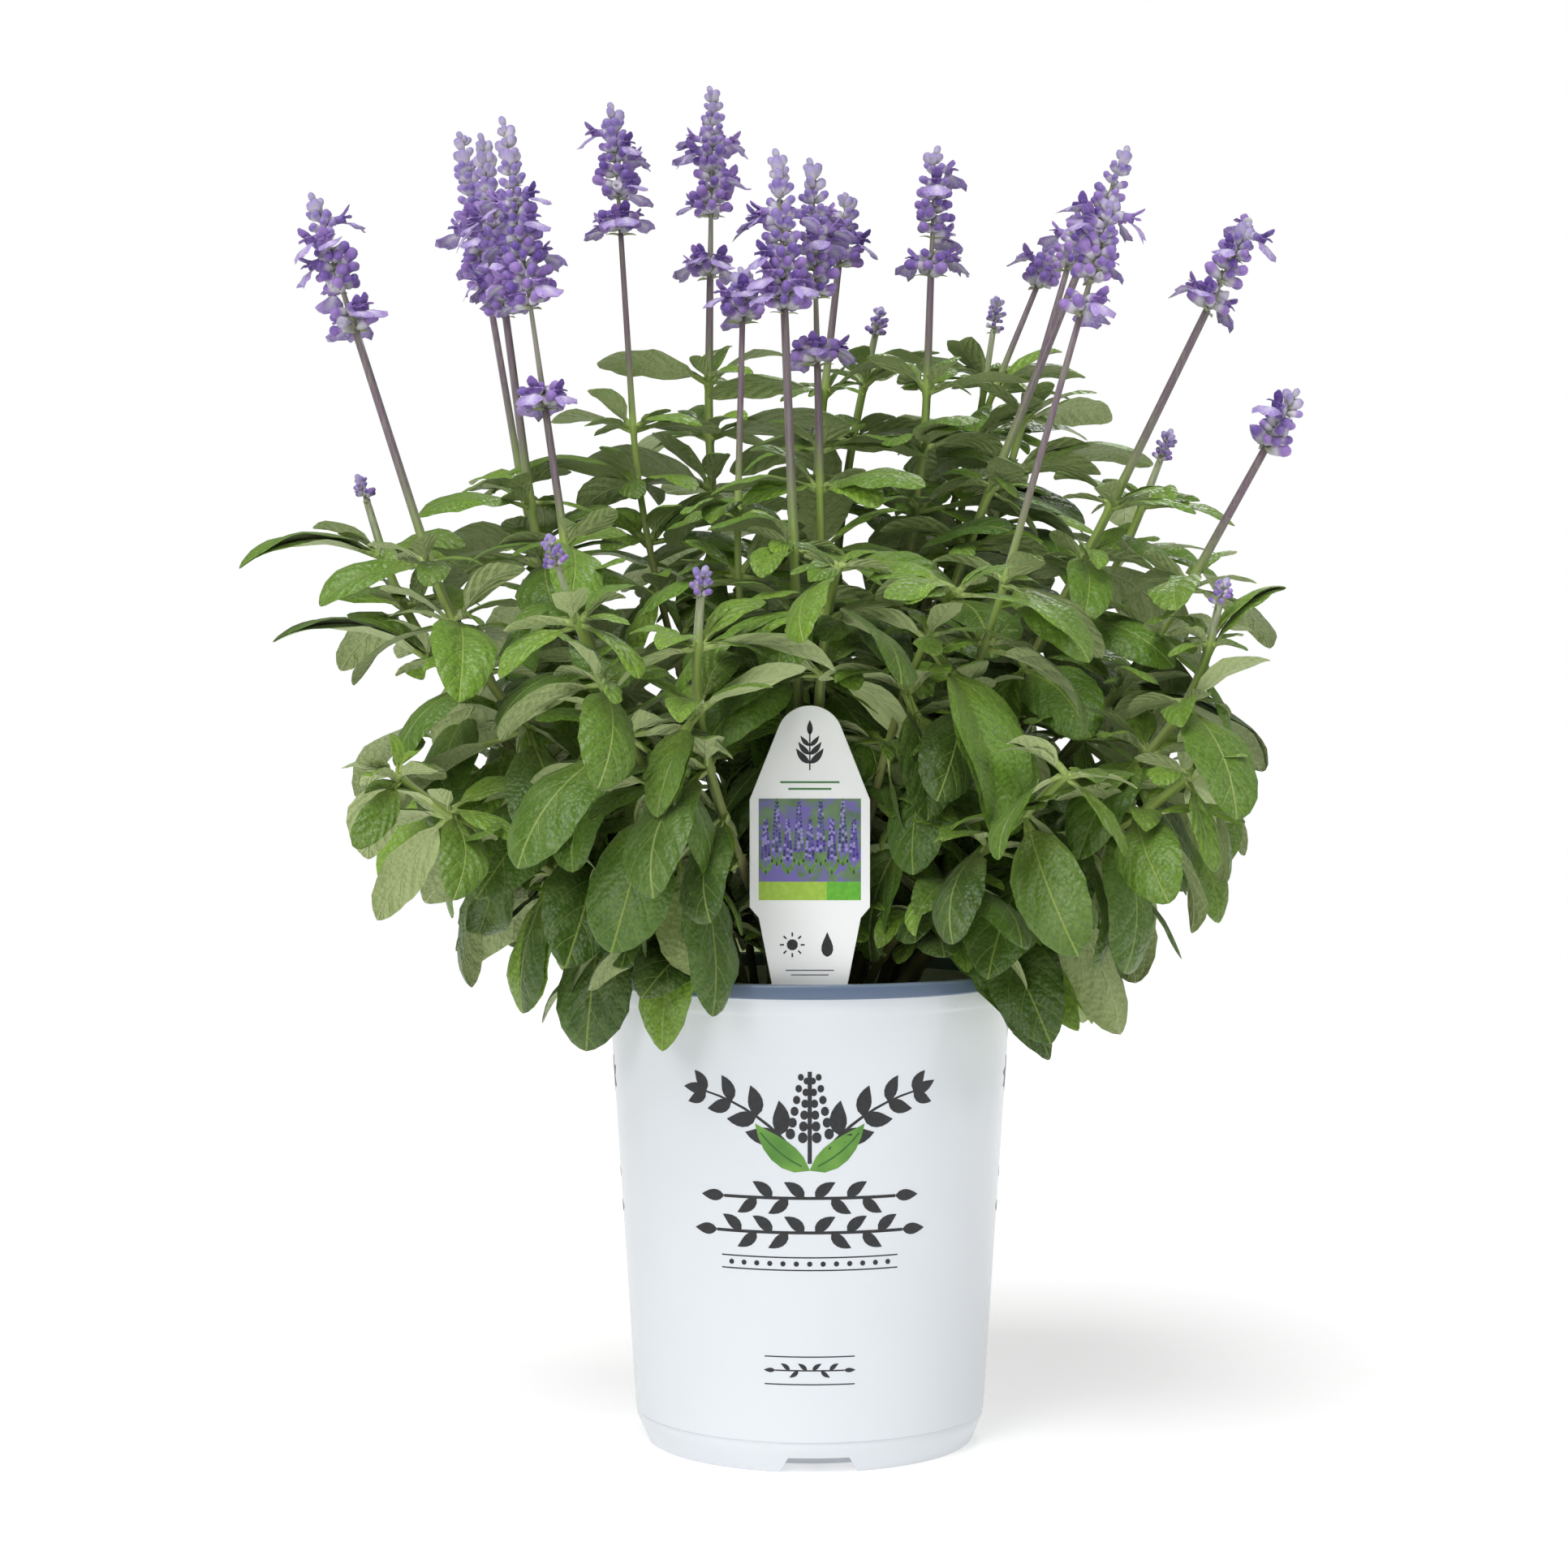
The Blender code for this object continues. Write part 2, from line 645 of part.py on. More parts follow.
def stem_curve(joint, heading):
    """Points up a stem, from its collar at the mix to the joint of its last leaf pair."""
    up = Vector((0, 0, 1))
    reach = Vector((joint.x - BUSH_CENTRE.x, joint.y, 0))
    lean = (reach + up * (joint.z - SOIL_EDGE_HEIGHT)).normalized() + up
    crown = Vector((BUSH_CENTRE.x / 2, 0, SOIL_EDGE_HEIGHT + SOIL_MOUND + STEM_COLLAR))
    collar = crown + reach * CROWN_SPREAD
    span = (joint - collar).length
    first = collar + lean.normalized() * span * COLLAR_PULL
    last = joint - heading * span * JOINT_PULL
    return [bezier(collar, first, last, joint, i / STEM_SAMPLES) for i in range(STEM_SAMPLES + 1)]


def down_curve(curve, distance):
    """The point and the upward direction at a distance down a curve from its end."""
    for high, low in zip(reversed(curve), reversed(curve[:-1])):
        step = (high - low).length
        if distance <= step:
            return high.lerp(low, distance / step), (high - low).normalized()
        distance -= step
    return curve[0], (curve[1] - curve[0]).normalized()


class Stem:
    """A square stem. Its leaves grow in crossed pairs, each out of a short face of the stem."""

    def __init__(self, number, joint, heading, end=None):
        self.number = number
        self.across = Vector((-joint.y, joint.x - BUSH_CENTRE.x, 0)).normalized()
        self.curve = stem_curve(joint, heading)
        self.length = sum((b - a).length for a, b in zip(self.curve, self.curve[1:]))
        room = self.length - 2 * PAIR_HALF_HEIGHT
        self.pairs = min(LEAF_PAIRS, int(room / PAIR_SPACING) + 1)
        self.rings = [self.ring(down) for down in self.ring_depths()]
        if end:
            self.rings.append(square_ring(self.upright(heading, end), STEM_HEAD))
        self.leaves = {}

    def pair_depth(self, level):
        return PAIR_HALF_HEIGHT + level * PAIR_SPACING

    def ring_depths(self):
        """How far below the joint each ring is, from the foot to the joint."""
        depths = [self.length + STEM_DEPTH + STEM_COLLAR, self.length]
        for level in reversed(range(self.pairs)):
            depths.append(self.pair_depth(level) + PAIR_HALF_HEIGHT)
            depths.append(self.pair_depth(level) - PAIR_HALF_HEIGHT)
        return depths

    def upright(self, up, place):
        """A frame with +Z up the stem and +X across the way it leans, so no face looks straight up."""
        side = (self.across - up * self.across.dot(up)).normalized()
        axes = Matrix((side, up.cross(side), up)).transposed().to_4x4()
        return Matrix.Translation(place) @ axes

    def frame(self, down):
        point, up = down_curve(self.curve, min(down, self.length))
        return self.upright(up, point - up * max(down - self.length, 0))

    def ring(self, down):
        share = min(down / self.length, 1)
        return square_ring(self.frame(down), STEM_JOINT + (STEM_FOOT - STEM_JOINT) * share)

    def face(self, level, side):
        """A leaf's face on the stem: its row of faces, its column, its centre and its normal."""
        row = 2 + 2 * (self.pairs - 1 - level)
        column = (self.number + level) % 2 + 2 * side
        corners = self.corners(row, column)
        centre = sum(corners, Vector()) / 4
        axis = down_curve(self.curve, self.pair_depth(level))[0]
        return row, column, centre, (centre - axis).normalized()

    def corners(self, row, column):
        low, high, after = self.rings[row], self.rings[row + 1], (column + 1) % 4
        return [low[column], low[after], high[after], high[column]]

    def tube(self):
        return loft(f"tube {self.number}", self.rings)

    def try_leaf(self, level, side, way, crowd):
        """Adds the leaf if it is clear of everything."""
        row, column, root, normal = self.face(level, side)
        rings, wide = placed_rings(root, way), placed_rings(root, way, CLEARANCE)
        away = sum(rings[0], Vector()) / 4 - root
        if min((point - root).dot(normal) for point in wide[0]) < LEAF_LEAST_RISE:
            return False
        socket = least_twist(self.corners(row, column), rings[0])
        full = loft("guard", [socket, *wide])
        free = loft("guard", [[root + away * OWN_STEM_SHARE], *wide])
        if crowd.meets(full, {f"stem {self.number}"}) or crowd.meets(free):
            return False
        crowd.add("leaf", loft("leaf", [socket, *rings]))
        self.leaves[row, column] = rings
        return True

    def reach_out(self, crowd):
        """The leaves whose tips are given, each from the side of its pair that looks its way."""
        for number, level, form, tip in REACHING:
            if number == self.number:
                _, _, root, normal = self.face(level, 0)
                side = 0 if (vector_mm(tip) - root).dot(normal) > 0 else 1
                way = aimed_leaf(LEAF_FORMS[form], self.face(level, side)[2], vector_mm(tip))
                self.try_leaf(level, side, way, crowd)

    def fill_out(self, crowd):
        """Every other leaf of the stem, each the first guess that is clear of the rest."""
        for level in range(self.pairs):
            for side in (0, 1):
                row, column, root, normal = self.face(level, side)
                for guess in range(GUESSES):
                    if (row, column) in self.leaves:
                        break
                    way = leaf_guess(f"{self.number} {level} {side}", level, guess, root, normal)
                    if is_seen(root, way):
                        self.try_leaf(level, side, way, crowd)

    def solid(self, name):
        """The stem with its leaves as one closed mesh."""
        bm = bmesh.new()
        rows = [[bm.verts.new(point) for point in ring] for ring in self.rings]
        for row, (low, high) in enumerate(zip(rows, rows[1:])):
            for column in range(4):
                after = (column + 1) % 4
                corners = [low[column], low[after], high[after], high[column]]
                if (row, column) in self.leaves:
                    add_leaf(bm, corners, self.leaves[row, column])
                else:
                    bm.faces.new(corners)
        bm.faces.new(rows[0])
        bm.faces.new(rows[-1])
        return to_mesh(bm, name)


def add_leaf(bm, corners, rings):
    """Grows a leaf out of the four corners of a stem's open face."""
    vertices = {tuple(corner.co): corner for corner in corners}
    socket = least_twist([corner.co for corner in corners], rings[0])
    rows = [[bm.verts.new(point) for point in ring] for ring in rings]
    skin(bm, [[vertices[tuple(point)] for point in socket], *rows])


def placed_rings(root, way, fatten=0.0):
    """A leaf's rings where it grows. The narrow upper leaves taper to the stem with no petiole."""
    frame = leaf_frame(root, way)
    rings = [[frame @ point for point in ring] for ring in leaf_rings(way[0], fatten)]
    return rings[1:] if way[0] in LEAF_FORMS[:WEDGE_FORMS] else rings


def least_twist(corners, ring):
    """The corners in the order, round the same way, that puts each nearest its ring vertex."""
    orders = [corners[i:] + corners[:i] for i in range(4)]
    return min(orders, key=lambda order: sum((a - b).length for a, b in zip(order, ring)))


def is_seen(root, way):
    """Whether a leaf lies in the outer part of the bush and clear above the rim."""
    frame = leaf_frame(root, way)
    places = arch(way[0])
    middle, tip = frame @ places[ARCH_STEPS * 2 // 3][0], frame @ places[-1][0]
    return inside_bush(middle) > BUSH_HOLLOW and tip.z > LOWEST_TIP


def label_view():
    """The space in front of the label, which leaves keep clear of so that it can be read."""
    dome, side = LABEL_DOME_RADIUS + LABEL_CLEARANCE, LABEL_HALF_WIDTH + LABEL_CLEARANCE
    right = [(dome, 0), (side, LABEL_SHOULDER_DROP), (side, LABEL_TOP - LOWEST_TIP)]
    outline = right + [(-x, drop) for x, drop in reversed(right)]
    ends = (LABEL_DISTANCE + LABEL_CLEARANCE, 2 * LABEL_DISTANCE)
    rings = [[Vector((x, -y, LABEL_TOP - drop)) for x, drop in outline] for y in ends]
    return loft("label view", rings)


def stem_hole(stem, soil):
    """Cuts the plain square hole in the mix that a stem stands in."""
    foot = stem.frame(stem.length + STEM_DEPTH + STEM_COLLAR + FIT_GAP)
    top = stem.frame(stem.length - FIT_GAP)
    half = STEM_FOOT + FIT_GAP * math.sqrt(2)
    mesh = loft(f"hole_{stem.number}", [square_ring(foot, half), square_ring(top, half)])
    boolean(soil, "DIFFERENCE", add_object(mesh.name, mesh, CUTTERS))


def outward_heading(joint):
    outward = Vector((joint.x - BUSH_CENTRE.x, joint.y, 0)).normalized()
    return (outward * LEAFY_LEAN + Vector((0, 0, 1))).normalized()


def stem_plans(crowd):
    """Each stem's (joint, heading there, end of its flower stalk), once its flower head stands."""
    plans = []
    for index, (joint, tip, dense, whole) in enumerate(FLOWERING, 1):
        joint, tip = vector_mm(joint), vector_mm(tip)
        heading = (tip - joint).normalized()
        crowd.add("head", add_head(index, tip, heading, dense * MM, whole * MM).data)
        plans.append((joint, heading, tip - heading * (whole * MM + FIT_GAP)))
    for joint in map(vector_mm, LEAFY_ONLY):
        plans.append((joint, outward_heading(joint)))
    return plans


def main():
    pot = add_pot()
    soil = add_soil()
    label = label_solid("plant_label", PARTS, finish="label")
    boolean(soil, "DIFFERENCE", label_solid("label_slot", CUTTERS, grow=FIT_GAP))
    crowd = Crowd()
    crowd.add("pot", as_mesh(pot, "pot outline"))
    crowd.add("soil", as_mesh(soil, "soil outline"))
    crowd.add("label", label.data)
    crowd.add("label view", label_view())
    stems = [Stem(number, *plan) for number, plan in enumerate(stem_plans(crowd), 1)]
    for stem in stems:
        crowd.add(f"stem {stem.number}", stem.tube())
        stem_hole(stem, soil)
    for stem in stems:
        stem.reach_out(crowd)
    for stem in stems:
        stem.fill_out(crowd)
        name = f"leafy_stem_{stem.number:02d}"
        add_object(name, stem.solid(name), PARTS, "leaf")


main()
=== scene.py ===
"""Looks of a potted mealycup sage: a bushy bedding salvia in a nursery pot, with a stake label.

Metres, +Z up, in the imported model's frame. Each section makes one kind of piece, in the order in
which the real one is put together: room, pot, print, potting mix, label, stems, flower heads.
"""

import json
import math
import random

import bmesh
import bpy
from mathutils import Euler, Matrix, Vector, noise
from mathutils.kdtree import KDTree

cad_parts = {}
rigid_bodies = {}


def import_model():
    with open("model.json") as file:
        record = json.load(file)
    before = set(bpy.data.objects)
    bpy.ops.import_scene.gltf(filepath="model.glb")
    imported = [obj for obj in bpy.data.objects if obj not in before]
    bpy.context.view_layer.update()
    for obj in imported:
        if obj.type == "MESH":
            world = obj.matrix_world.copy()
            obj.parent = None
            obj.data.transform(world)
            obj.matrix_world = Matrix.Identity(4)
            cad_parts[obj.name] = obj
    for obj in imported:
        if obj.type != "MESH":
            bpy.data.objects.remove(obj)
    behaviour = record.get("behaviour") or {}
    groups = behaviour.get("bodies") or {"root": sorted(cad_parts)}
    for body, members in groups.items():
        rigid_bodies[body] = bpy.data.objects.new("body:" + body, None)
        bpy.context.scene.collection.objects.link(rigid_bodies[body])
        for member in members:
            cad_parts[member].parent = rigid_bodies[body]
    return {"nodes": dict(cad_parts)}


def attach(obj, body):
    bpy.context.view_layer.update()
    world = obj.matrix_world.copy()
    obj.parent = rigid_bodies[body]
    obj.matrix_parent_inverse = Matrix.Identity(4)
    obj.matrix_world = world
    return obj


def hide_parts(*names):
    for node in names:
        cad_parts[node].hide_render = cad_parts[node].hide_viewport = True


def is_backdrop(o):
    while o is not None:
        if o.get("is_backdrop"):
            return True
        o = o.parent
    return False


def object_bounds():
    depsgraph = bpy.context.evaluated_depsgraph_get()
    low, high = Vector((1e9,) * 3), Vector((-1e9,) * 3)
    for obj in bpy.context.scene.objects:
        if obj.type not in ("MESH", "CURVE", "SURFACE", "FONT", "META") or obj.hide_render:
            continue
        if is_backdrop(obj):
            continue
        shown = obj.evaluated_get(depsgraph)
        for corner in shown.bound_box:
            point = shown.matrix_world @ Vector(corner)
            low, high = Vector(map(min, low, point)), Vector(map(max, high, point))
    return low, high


MM = 0.001

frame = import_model()
cad_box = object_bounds()
scene = bpy.context.scene


# The room: a pale plain floor in a white studio, lit by a wide soft key light from the upper left
# and weaker softboxes. The camera is level with the foliage, a little over a metre in front.

CAMERA_PLACE = (0, -1215 * MM, 285 * MM)
CAMERA_LENS = 70.75
CAMERA_SENSOR = 36
CAMERA_TILT = math.radians(-1.31)
CAMERA_PAN = math.radians(0.48)
ROOM_LIGHT = 0.19
KEY_LIGHT = 2.25
KEY_WIDTH = math.radians(40)
KEY_FROM = Vector((-0.35, -0.6, 1.6))
LIGHTS_AIM = Vector((0, 0, 0.28))
FLOOR_RADIUS = 6
FLOOR_GLOW = 0.47
WHITE = "#ffffff"


def colour(code):
    """An sRGB hex colour as linear red, green, blue and alpha."""
    parts = [int(code[i : i + 2], 16) / 255 for i in (1, 3, 5)]
    return (*(c / 12.92 if c <= 0.04045 else ((c + 0.055) / 1.055) ** 2.4 for c in parts), 1)


def connect(made, inputs):
    """Links each given socket to the node's input, or sets the input to the given value.

    Inputs without names are taken in order, and text that starts with # is a colour.
    """
    for name, value in inputs.items() if isinstance(inputs, dict) else enumerate(inputs):
        if isinstance(value, bpy.types.NodeSocket):
            made.id_data.links.new(value, made.inputs[name])
        else:
            is_colour = str(value).startswith("#")
            made.inputs[name].default_value = colour(value) if is_colour else value


def add_node(tree, kind, inputs=(), output=0, **settings):
    """Adds a node with its settings and inputs, and gives one output.

    The kind of a shader node is given in short, such as Mix.
    """
    made = tree.nodes.new(kind if "Node" in kind else f"ShaderNode{kind}")
    for name, value in settings.items():
        setattr(made, name, value)
    connect(made, inputs)
    return made.outputs[output] if made.outputs else made


def start_material(name):
    """A new material, its node tree, its shader and the place on the piece, in metres."""
    made = bpy.data.materials.new(name)
    made.use_nodes = True
    tree = made.node_tree
    where = add_node(tree, "TexCoord", output="Object")
    return made, tree, tree.nodes["Principled BSDF"], where


def add_piece(name, mesh, *finishes):
    made = bpy.data.objects.new(name, mesh)
    scene.collection.objects.link(made)
    for finish in finishes:
        mesh.materials.append(finish)
    return made


def show(piece, slot, *nodes):
    """The piece stands for its solids and moves with the whole plant, which is one body."""
    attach(piece, "root")
    if nodes:
        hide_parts(*nodes)


camera = bpy.data.objects.new("camera", bpy.data.cameras.new("camera"))
camera.data.lens = CAMERA_LENS
camera.data.sensor_width = CAMERA_SENSOR
camera.data.clip_start = 0.01
camera.location = CAMERA_PLACE
camera.rotation_euler = (math.pi / 2 + CAMERA_TILT, 0, CAMERA_PAN)
scene.collection.objects.link(camera)
scene.camera = camera
scene.view_settings.view_transform = "Standard"

# A white backdrop, which lights the plant less than its own brightness so that the depth of the
# foliage stays dark.
scene.world = bpy.data.worlds.new("white room")
scene.world.use_nodes = True
tree = scene.world.node_tree
backdrop = add_node(tree, "Background", {"Color": WHITE, "Strength": 1.0})
walls = add_node(tree, "Background", {"Color": WHITE, "Strength": ROOM_LIGHT})
seen = add_node(tree, "LightPath", output="Is Camera Ray")
room = add_node(tree, "MixShader", {0: seen, 1: walls, 2: backdrop})
tree.links.new(room, tree.nodes["World Output"].inputs["Surface"])


def add_light(name, kind, place, energy, **settings):
    """A light that faces the middle of the bush."""
    lamp = bpy.data.lights.new(name, kind)
    lamp.energy = energy
    for label, value in settings.items():
        setattr(lamp, label, value)
    made = bpy.data.objects.new(name, lamp)
    made.location = place
    made.rotation_euler = (LIGHTS_AIM - Vector(place)).to_track_quat("-Z", "Y").to_euler()
    scene.collection.objects.link(made)


add_light("key light", "SUN", KEY_FROM, KEY_LIGHT, angle=KEY_WIDTH)
add_light("left softbox", "AREA", (-0.5, -1.2, 0.7), 4.8, size=0.5)
add_light("right softbox", "AREA", (1.1, -0.5, 0.9), 3.0, size=0.36)
add_light("back softbox", "AREA", (0.4, 1.3, 1.4), 5.0, size=0.4)

# The floor is a white light table, which keeps the shadow on it faint.
floor_finish, _, shader, _ = start_material("lit white acrylic")
connect(shader, {"Base Color": "#d4d4d4", "Roughness": 0.9})
connect(shader, {"Emission Color": WHITE, "Emission Strength": FLOOR_GLOW})
bpy.ops.mesh.primitive_circle_add(vertices=64, radius=FLOOR_RADIUS, fill_type="NGON")
floor = bpy.context.object
floor.name = "floor"
floor.data.materials.append(floor_finish)
floor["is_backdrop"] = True


# The pot: thin polypropylene, injection moulded in white with a slate-coloured rolled rim over a
# shallow collar. Its foot ring has four drain notches, and the floor a raised channel with a
# drain hole behind each.

POT_HEIGHT = 185 * MM
POT_RIM_RADIUS = 82.5 * MM
POT_NECK_RADIUS = 79.8 * MM
POT_SHOULDER_RADIUS = 68.5 * MM
POT_FOOT_RADIUS = 64.3 * MM
POT_WALL = 1.5 * MM
POT_STEPS = 128
RIM_DEPTH = 5.5 * MM
RIM_ROUND = 0.9 * MM
COLLAR_DEPTH = 5 * MM
COLLAR_STEP = 0.8 * MM
LEDGE_HEIGHT = 12 * MM
LEDGE_STEP = 0.6 * MM
FOOT_BAND = 10 * MM
DRAIN_RISE = 7 * MM
PAD_RADIUS = 50 * MM
FOOT_RING = 3 * MM
NOTCHES = 4
NOTCH_TURN = math.radians(3)
NOTCH_OUTLINE = ((-17, -4), (17, -4), (11.5, 6), (-11.5, 6))
POT_EDGE_ANGLE = math.radians(35)
DRAIN_HOLE_RADIUS = 3.5 * MM


def lathe(name, profile, steps):
    """A solid of revolution from (radius, height) points that run round its outline."""
    mesh = bpy.data.meshes.new(name)
    points = [(radius, 0, height) for radius, height in profile]
    mesh.from_pydata(points, [(i, i + 1) for i in range(len(points) - 1)], [])
    made = add_piece(name, mesh)
    screw = made.modifiers.new("turn", "SCREW")
    screw.steps = screw.render_steps = steps
    screw.use_merge_vertices = True
    screw.merge_threshold = 0.01 * MM
    return made


def apply_modifiers(piece):
    """Turns the piece's modifiers into its mesh."""
    bpy.context.view_layer.update()
    graph = bpy.context.evaluated_depsgraph_get()
    mesh = bpy.data.meshes.new_from_object(piece.evaluated_get(graph))
    piece.modifiers.clear()
    piece.data = mesh
    mesh.name = piece.name
    return piece


def cut(piece, cutters):
    """Cuts each cutter's shape out of the piece, and removes the cutters."""
    for cutter in cutters:
        modifier = piece.modifiers.new(cutter.name, "BOOLEAN")
        modifier.operation = "DIFFERENCE"
        modifier.object = cutter
    apply_modifiers(piece)
    for cutter in cutters:
        bpy.data.objects.remove(cutter)


def wall_radius(height):
    """The pot's outer radius at a height on its tapered wall."""
    share = (height - FOOT_BAND) / (POT_HEIGHT - FOOT_BAND)
    return POT_SHOULDER_RADIUS + (POT_NECK_RADIUS - POT_SHOULDER_RADIUS) * share


def rounded_edge(centre, radius):
    """Points down a quarter circle, from its top to its outer side."""
    angles = [math.pi / 2 * (1 - i / 4) for i in range(5)]
    return [(centre[0] + radius * math.cos(a), centre[1] + radius * math.sin(a)) for a in angles]


def pot_profile():
    rim_inner = POT_NECK_RADIUS - POT_WALL
    under_rim = POT_HEIGHT - RIM_DEPTH
    collar_foot = under_rim - COLLAR_DEPTH
    foot_inner = POT_FOOT_RADIUS - FOOT_RING
    channel_top = DRAIN_RISE + POT_WALL
    return [
        (0, POT_WALL),
        (PAD_RADIUS - POT_WALL, POT_WALL),
        (PAD_RADIUS - POT_WALL, channel_top),
        (POT_SHOULDER_RADIUS - POT_WALL, channel_top),
        (rim_inner, POT_HEIGHT - RIM_ROUND),
        (rim_inner + RIM_ROUND, POT_HEIGHT),
        *rounded_edge((POT_RIM_RADIUS - RIM_ROUND, POT_HEIGHT - RIM_ROUND), RIM_ROUND),
        (POT_RIM_RADIUS - 0.1 * MM, under_rim + 0.6 * MM),
        (POT_RIM_RADIUS - 0.8 * MM, under_rim),
        (wall_radius(under_rim) + COLLAR_STEP, under_rim - 0.1 * MM),
        (wall_radius(collar_foot) + COLLAR_STEP, collar_foot),
        (wall_radius(collar_foot) + COLLAR_STEP / 2, collar_foot - 0.9 * MM),
        (wall_radius(collar_foot - 2.4 * MM), collar_foot - 2.4 * MM),
        (wall_radius(LEDGE_HEIGHT + 0.8 * MM), LEDGE_HEIGHT + 0.5 * MM),
        (wall_radius(LEDGE_HEIGHT) - LEDGE_STEP, LEDGE_HEIGHT),
        (POT_SHOULDER_RADIUS - LEDGE_STEP / 2, FOOT_BAND),
        (POT_SHOULDER_RADIUS - 1.2 * MM, FOOT_BAND - 2.2 * MM),
        (POT_FOOT_RADIUS + 0.3 * MM, 0.8 * MM),
        (POT_FOOT_RADIUS - 0.5 * MM, 0),
        (foot_inner, 0),
        (foot_inner, DRAIN_RISE),
        (PAD_RADIUS, DRAIN_RISE),
        (PAD_RADIUS, 0),
        (0, 0),
    ]


def to_mesh(bm, name):
    """Closes the work on a mesh: its faces point outwards, and it is smooth where marked."""
    bmesh.ops.recalc_face_normals(bm, faces=bm.faces)
    mesh = bpy.data.meshes.new(name)
    bm.to_mesh(mesh)
    bm.free()
    return mesh


def add_skin(bm, rings):
    """Faces between rings of points, with a cap at both ends."""
    rows = [[bm.verts.new(point) for point in ring] for ring in rings]
    for low, high in zip(rows, rows[1:]):
        for i, start in enumerate(low):
            j = (i + 1) % len(low)
            bm.faces.new([start, low[j], high[j], high[i]])
    bm.faces.new(rows[0])
    bm.faces.new(rows[-1])


def loft(name, rings):
    """A closed mesh through rings of points."""
    bm = bmesh.new()
    add_skin(bm, rings)
    return to_mesh(bm, name)


def notch_cutters():
    """For each notch, a wedge through the foot ring and a round hole in the channel behind it."""
    cutters = []
    for i in range(NOTCHES):
        turn = NOTCH_TURN + i * math.tau / NOTCHES
        depths = (PAD_RADIUS + 6 * MM, POT_SHOULDER_RADIUS + 4 * MM)
        rings = [[Vector((x * MM, -depth, z * MM)) for x, z in NOTCH_OUTLINE] for depth in depths]
        mesh = loft(f"notch {i}", rings)
        mesh.transform(Matrix.Rotation(turn, 4, "Z"))
        cutters.append(add_piece(f"notch {i}", mesh))
        middle = (PAD_RADIUS + POT_FOOT_RADIUS - FOOT_RING) / 2
        place = (middle * math.sin(turn), -middle * math.cos(turn), DRAIN_RISE)
        bpy.ops.mesh.primitive_cylinder_add(
            vertices=24, radius=DRAIN_HOLE_RADIUS, depth=4 * POT_WALL, location=place
        )
        cutters.append(bpy.context.object)
    return cutters


# Moulded polypropylene: smooth with a soft gloss and the faint ripple of the mould. The rim is
# the same plastic in slate grey, with a painted highlight that makes its top edge paler.
pot_finish, tree, shader, where = start_material("moulded polypropylene")
height = add_node(tree, "SeparateXYZ", {"Vector": where}, "Z")
cloud = add_node(tree, "TexNoise", {"Vector": where, "Scale": 1 / (60 * MM), "Detail": 2.0})
ripple = add_node(tree, "TexNoise", {"Vector": where, "Scale": 1 / (9 * MM), "Detail": 3.0})
whites = add_node(tree, "Mix", {0: cloud, 6: "#dfe3e7", 7: "#d8dde3"}, 2, data_type="RGBA")
# Painted highlight: the slate rim turns paler over its top 1.2 mm.
top_edge_highlight = add_node(tree, "MapRange", (height, POT_HEIGHT - 1.2 * MM, POT_HEIGHT))
slates = add_node(tree, "Mix", {0: top_edge_highlight, 6: "#5f6f88", 7: "#8391a6"}, 2, data_type="RGBA")
rim_foot = POT_HEIGHT - RIM_DEPTH - 0.05 * MM
on_rim = add_node(tree, "Math", (height, rim_foot), operation="GREATER_THAN")
shades = add_node(tree, "Mix", {0: on_rim, 6: whites, 7: slates}, 2, data_type="RGBA")
bump = add_node(tree, "Bump", {"Height": ripple, "Distance": 0.06 * MM, "Strength": 0.5})
connect(shader, {"Base Color": shades, "Normal": bump, "Roughness": 0.24, "IOR": 1.49})

pot = lathe("nursery_pot", pot_profile(), POT_STEPS)
cut(pot, notch_cutters())
pot.data.materials.clear()
pot.data.materials.append(pot_finish)
pot.data.shade_smooth()
pot.data.set_sharp_from_angle(angle=POT_EDGE_ANGLE)
show(pot, "pot_plastic", "pot")


# The print on the pot: thin layers of charcoal and green ink, the same on three sides of the
# wall. A flower spike stands between two leafy sprays, over a vine, a row of leaves and fine rules.

INK_DEPTH = 0.07 * MM
INK_ROOT = 0.12 * MM
PRINT_TURNS = (0, math.radians(115), math.radians(-115))
PRINT_WIDTH = 37


def ink_finish(name, first, second, patch=2.0):
    """Screen ink: flat and a little glossier than what is under it, and not quite even."""
    made, tree, shader, where = start_material(name)
    cloud = add_node(tree, "TexNoise", {"Vector": where, "Scale": 1 / (patch * MM), "Detail": 2.0})
    share = add_node(tree, "MapRange", (cloud, 0.35, 0.65))
    inks = add_node(tree, "Mix", {0: share, 6: first, 7: second}, 2, data_type="RGBA")
    connect(shader, {"Base Color": inks, "Roughness": 0.35})
    return made


def stroke(spine, half_widths):
    """Cross lines of three points along a spine: left edge, middle and right edge."""
    lines = []
    for i, (x, z) in enumerate(spine):
        ahead = spine[min(i + 1, len(spine) - 1)]
        behind = spine[max(i - 1, 0)]
        along = Vector((ahead[0] - behind[0], ahead[1] - behind[1])).normalized()
        side = Vector((-along.y, along.x)) * half_widths[i]
        lines.append([(x + side.x, z + side.y), (x, z), (x - side.x, z - side.y)])
    return lines


def curved(start, angle, length, bend, count):
    """Points along an arc: where it starts, its first direction, and how far that turns."""
    points, (x, z) = [], start
    for i in range(count):
        points.append((x, z))
        turn = angle + bend * i / (count - 1)
        x += math.cos(turn) * length / (count - 1)
        z += math.sin(turn) * length / (count - 1)
    return points


def leaf_stroke(start, angle, length, width, bend=0.3):
    """A pointed leaf in flat ink."""
    spine = curved(start, angle, length, bend, 7)
    halves = [max(width / 2 * math.sin(math.pi * (i / 6) ** 0.8) ** 0.9, 0.08) for i in range(7)]
    return stroke(spine, halves)


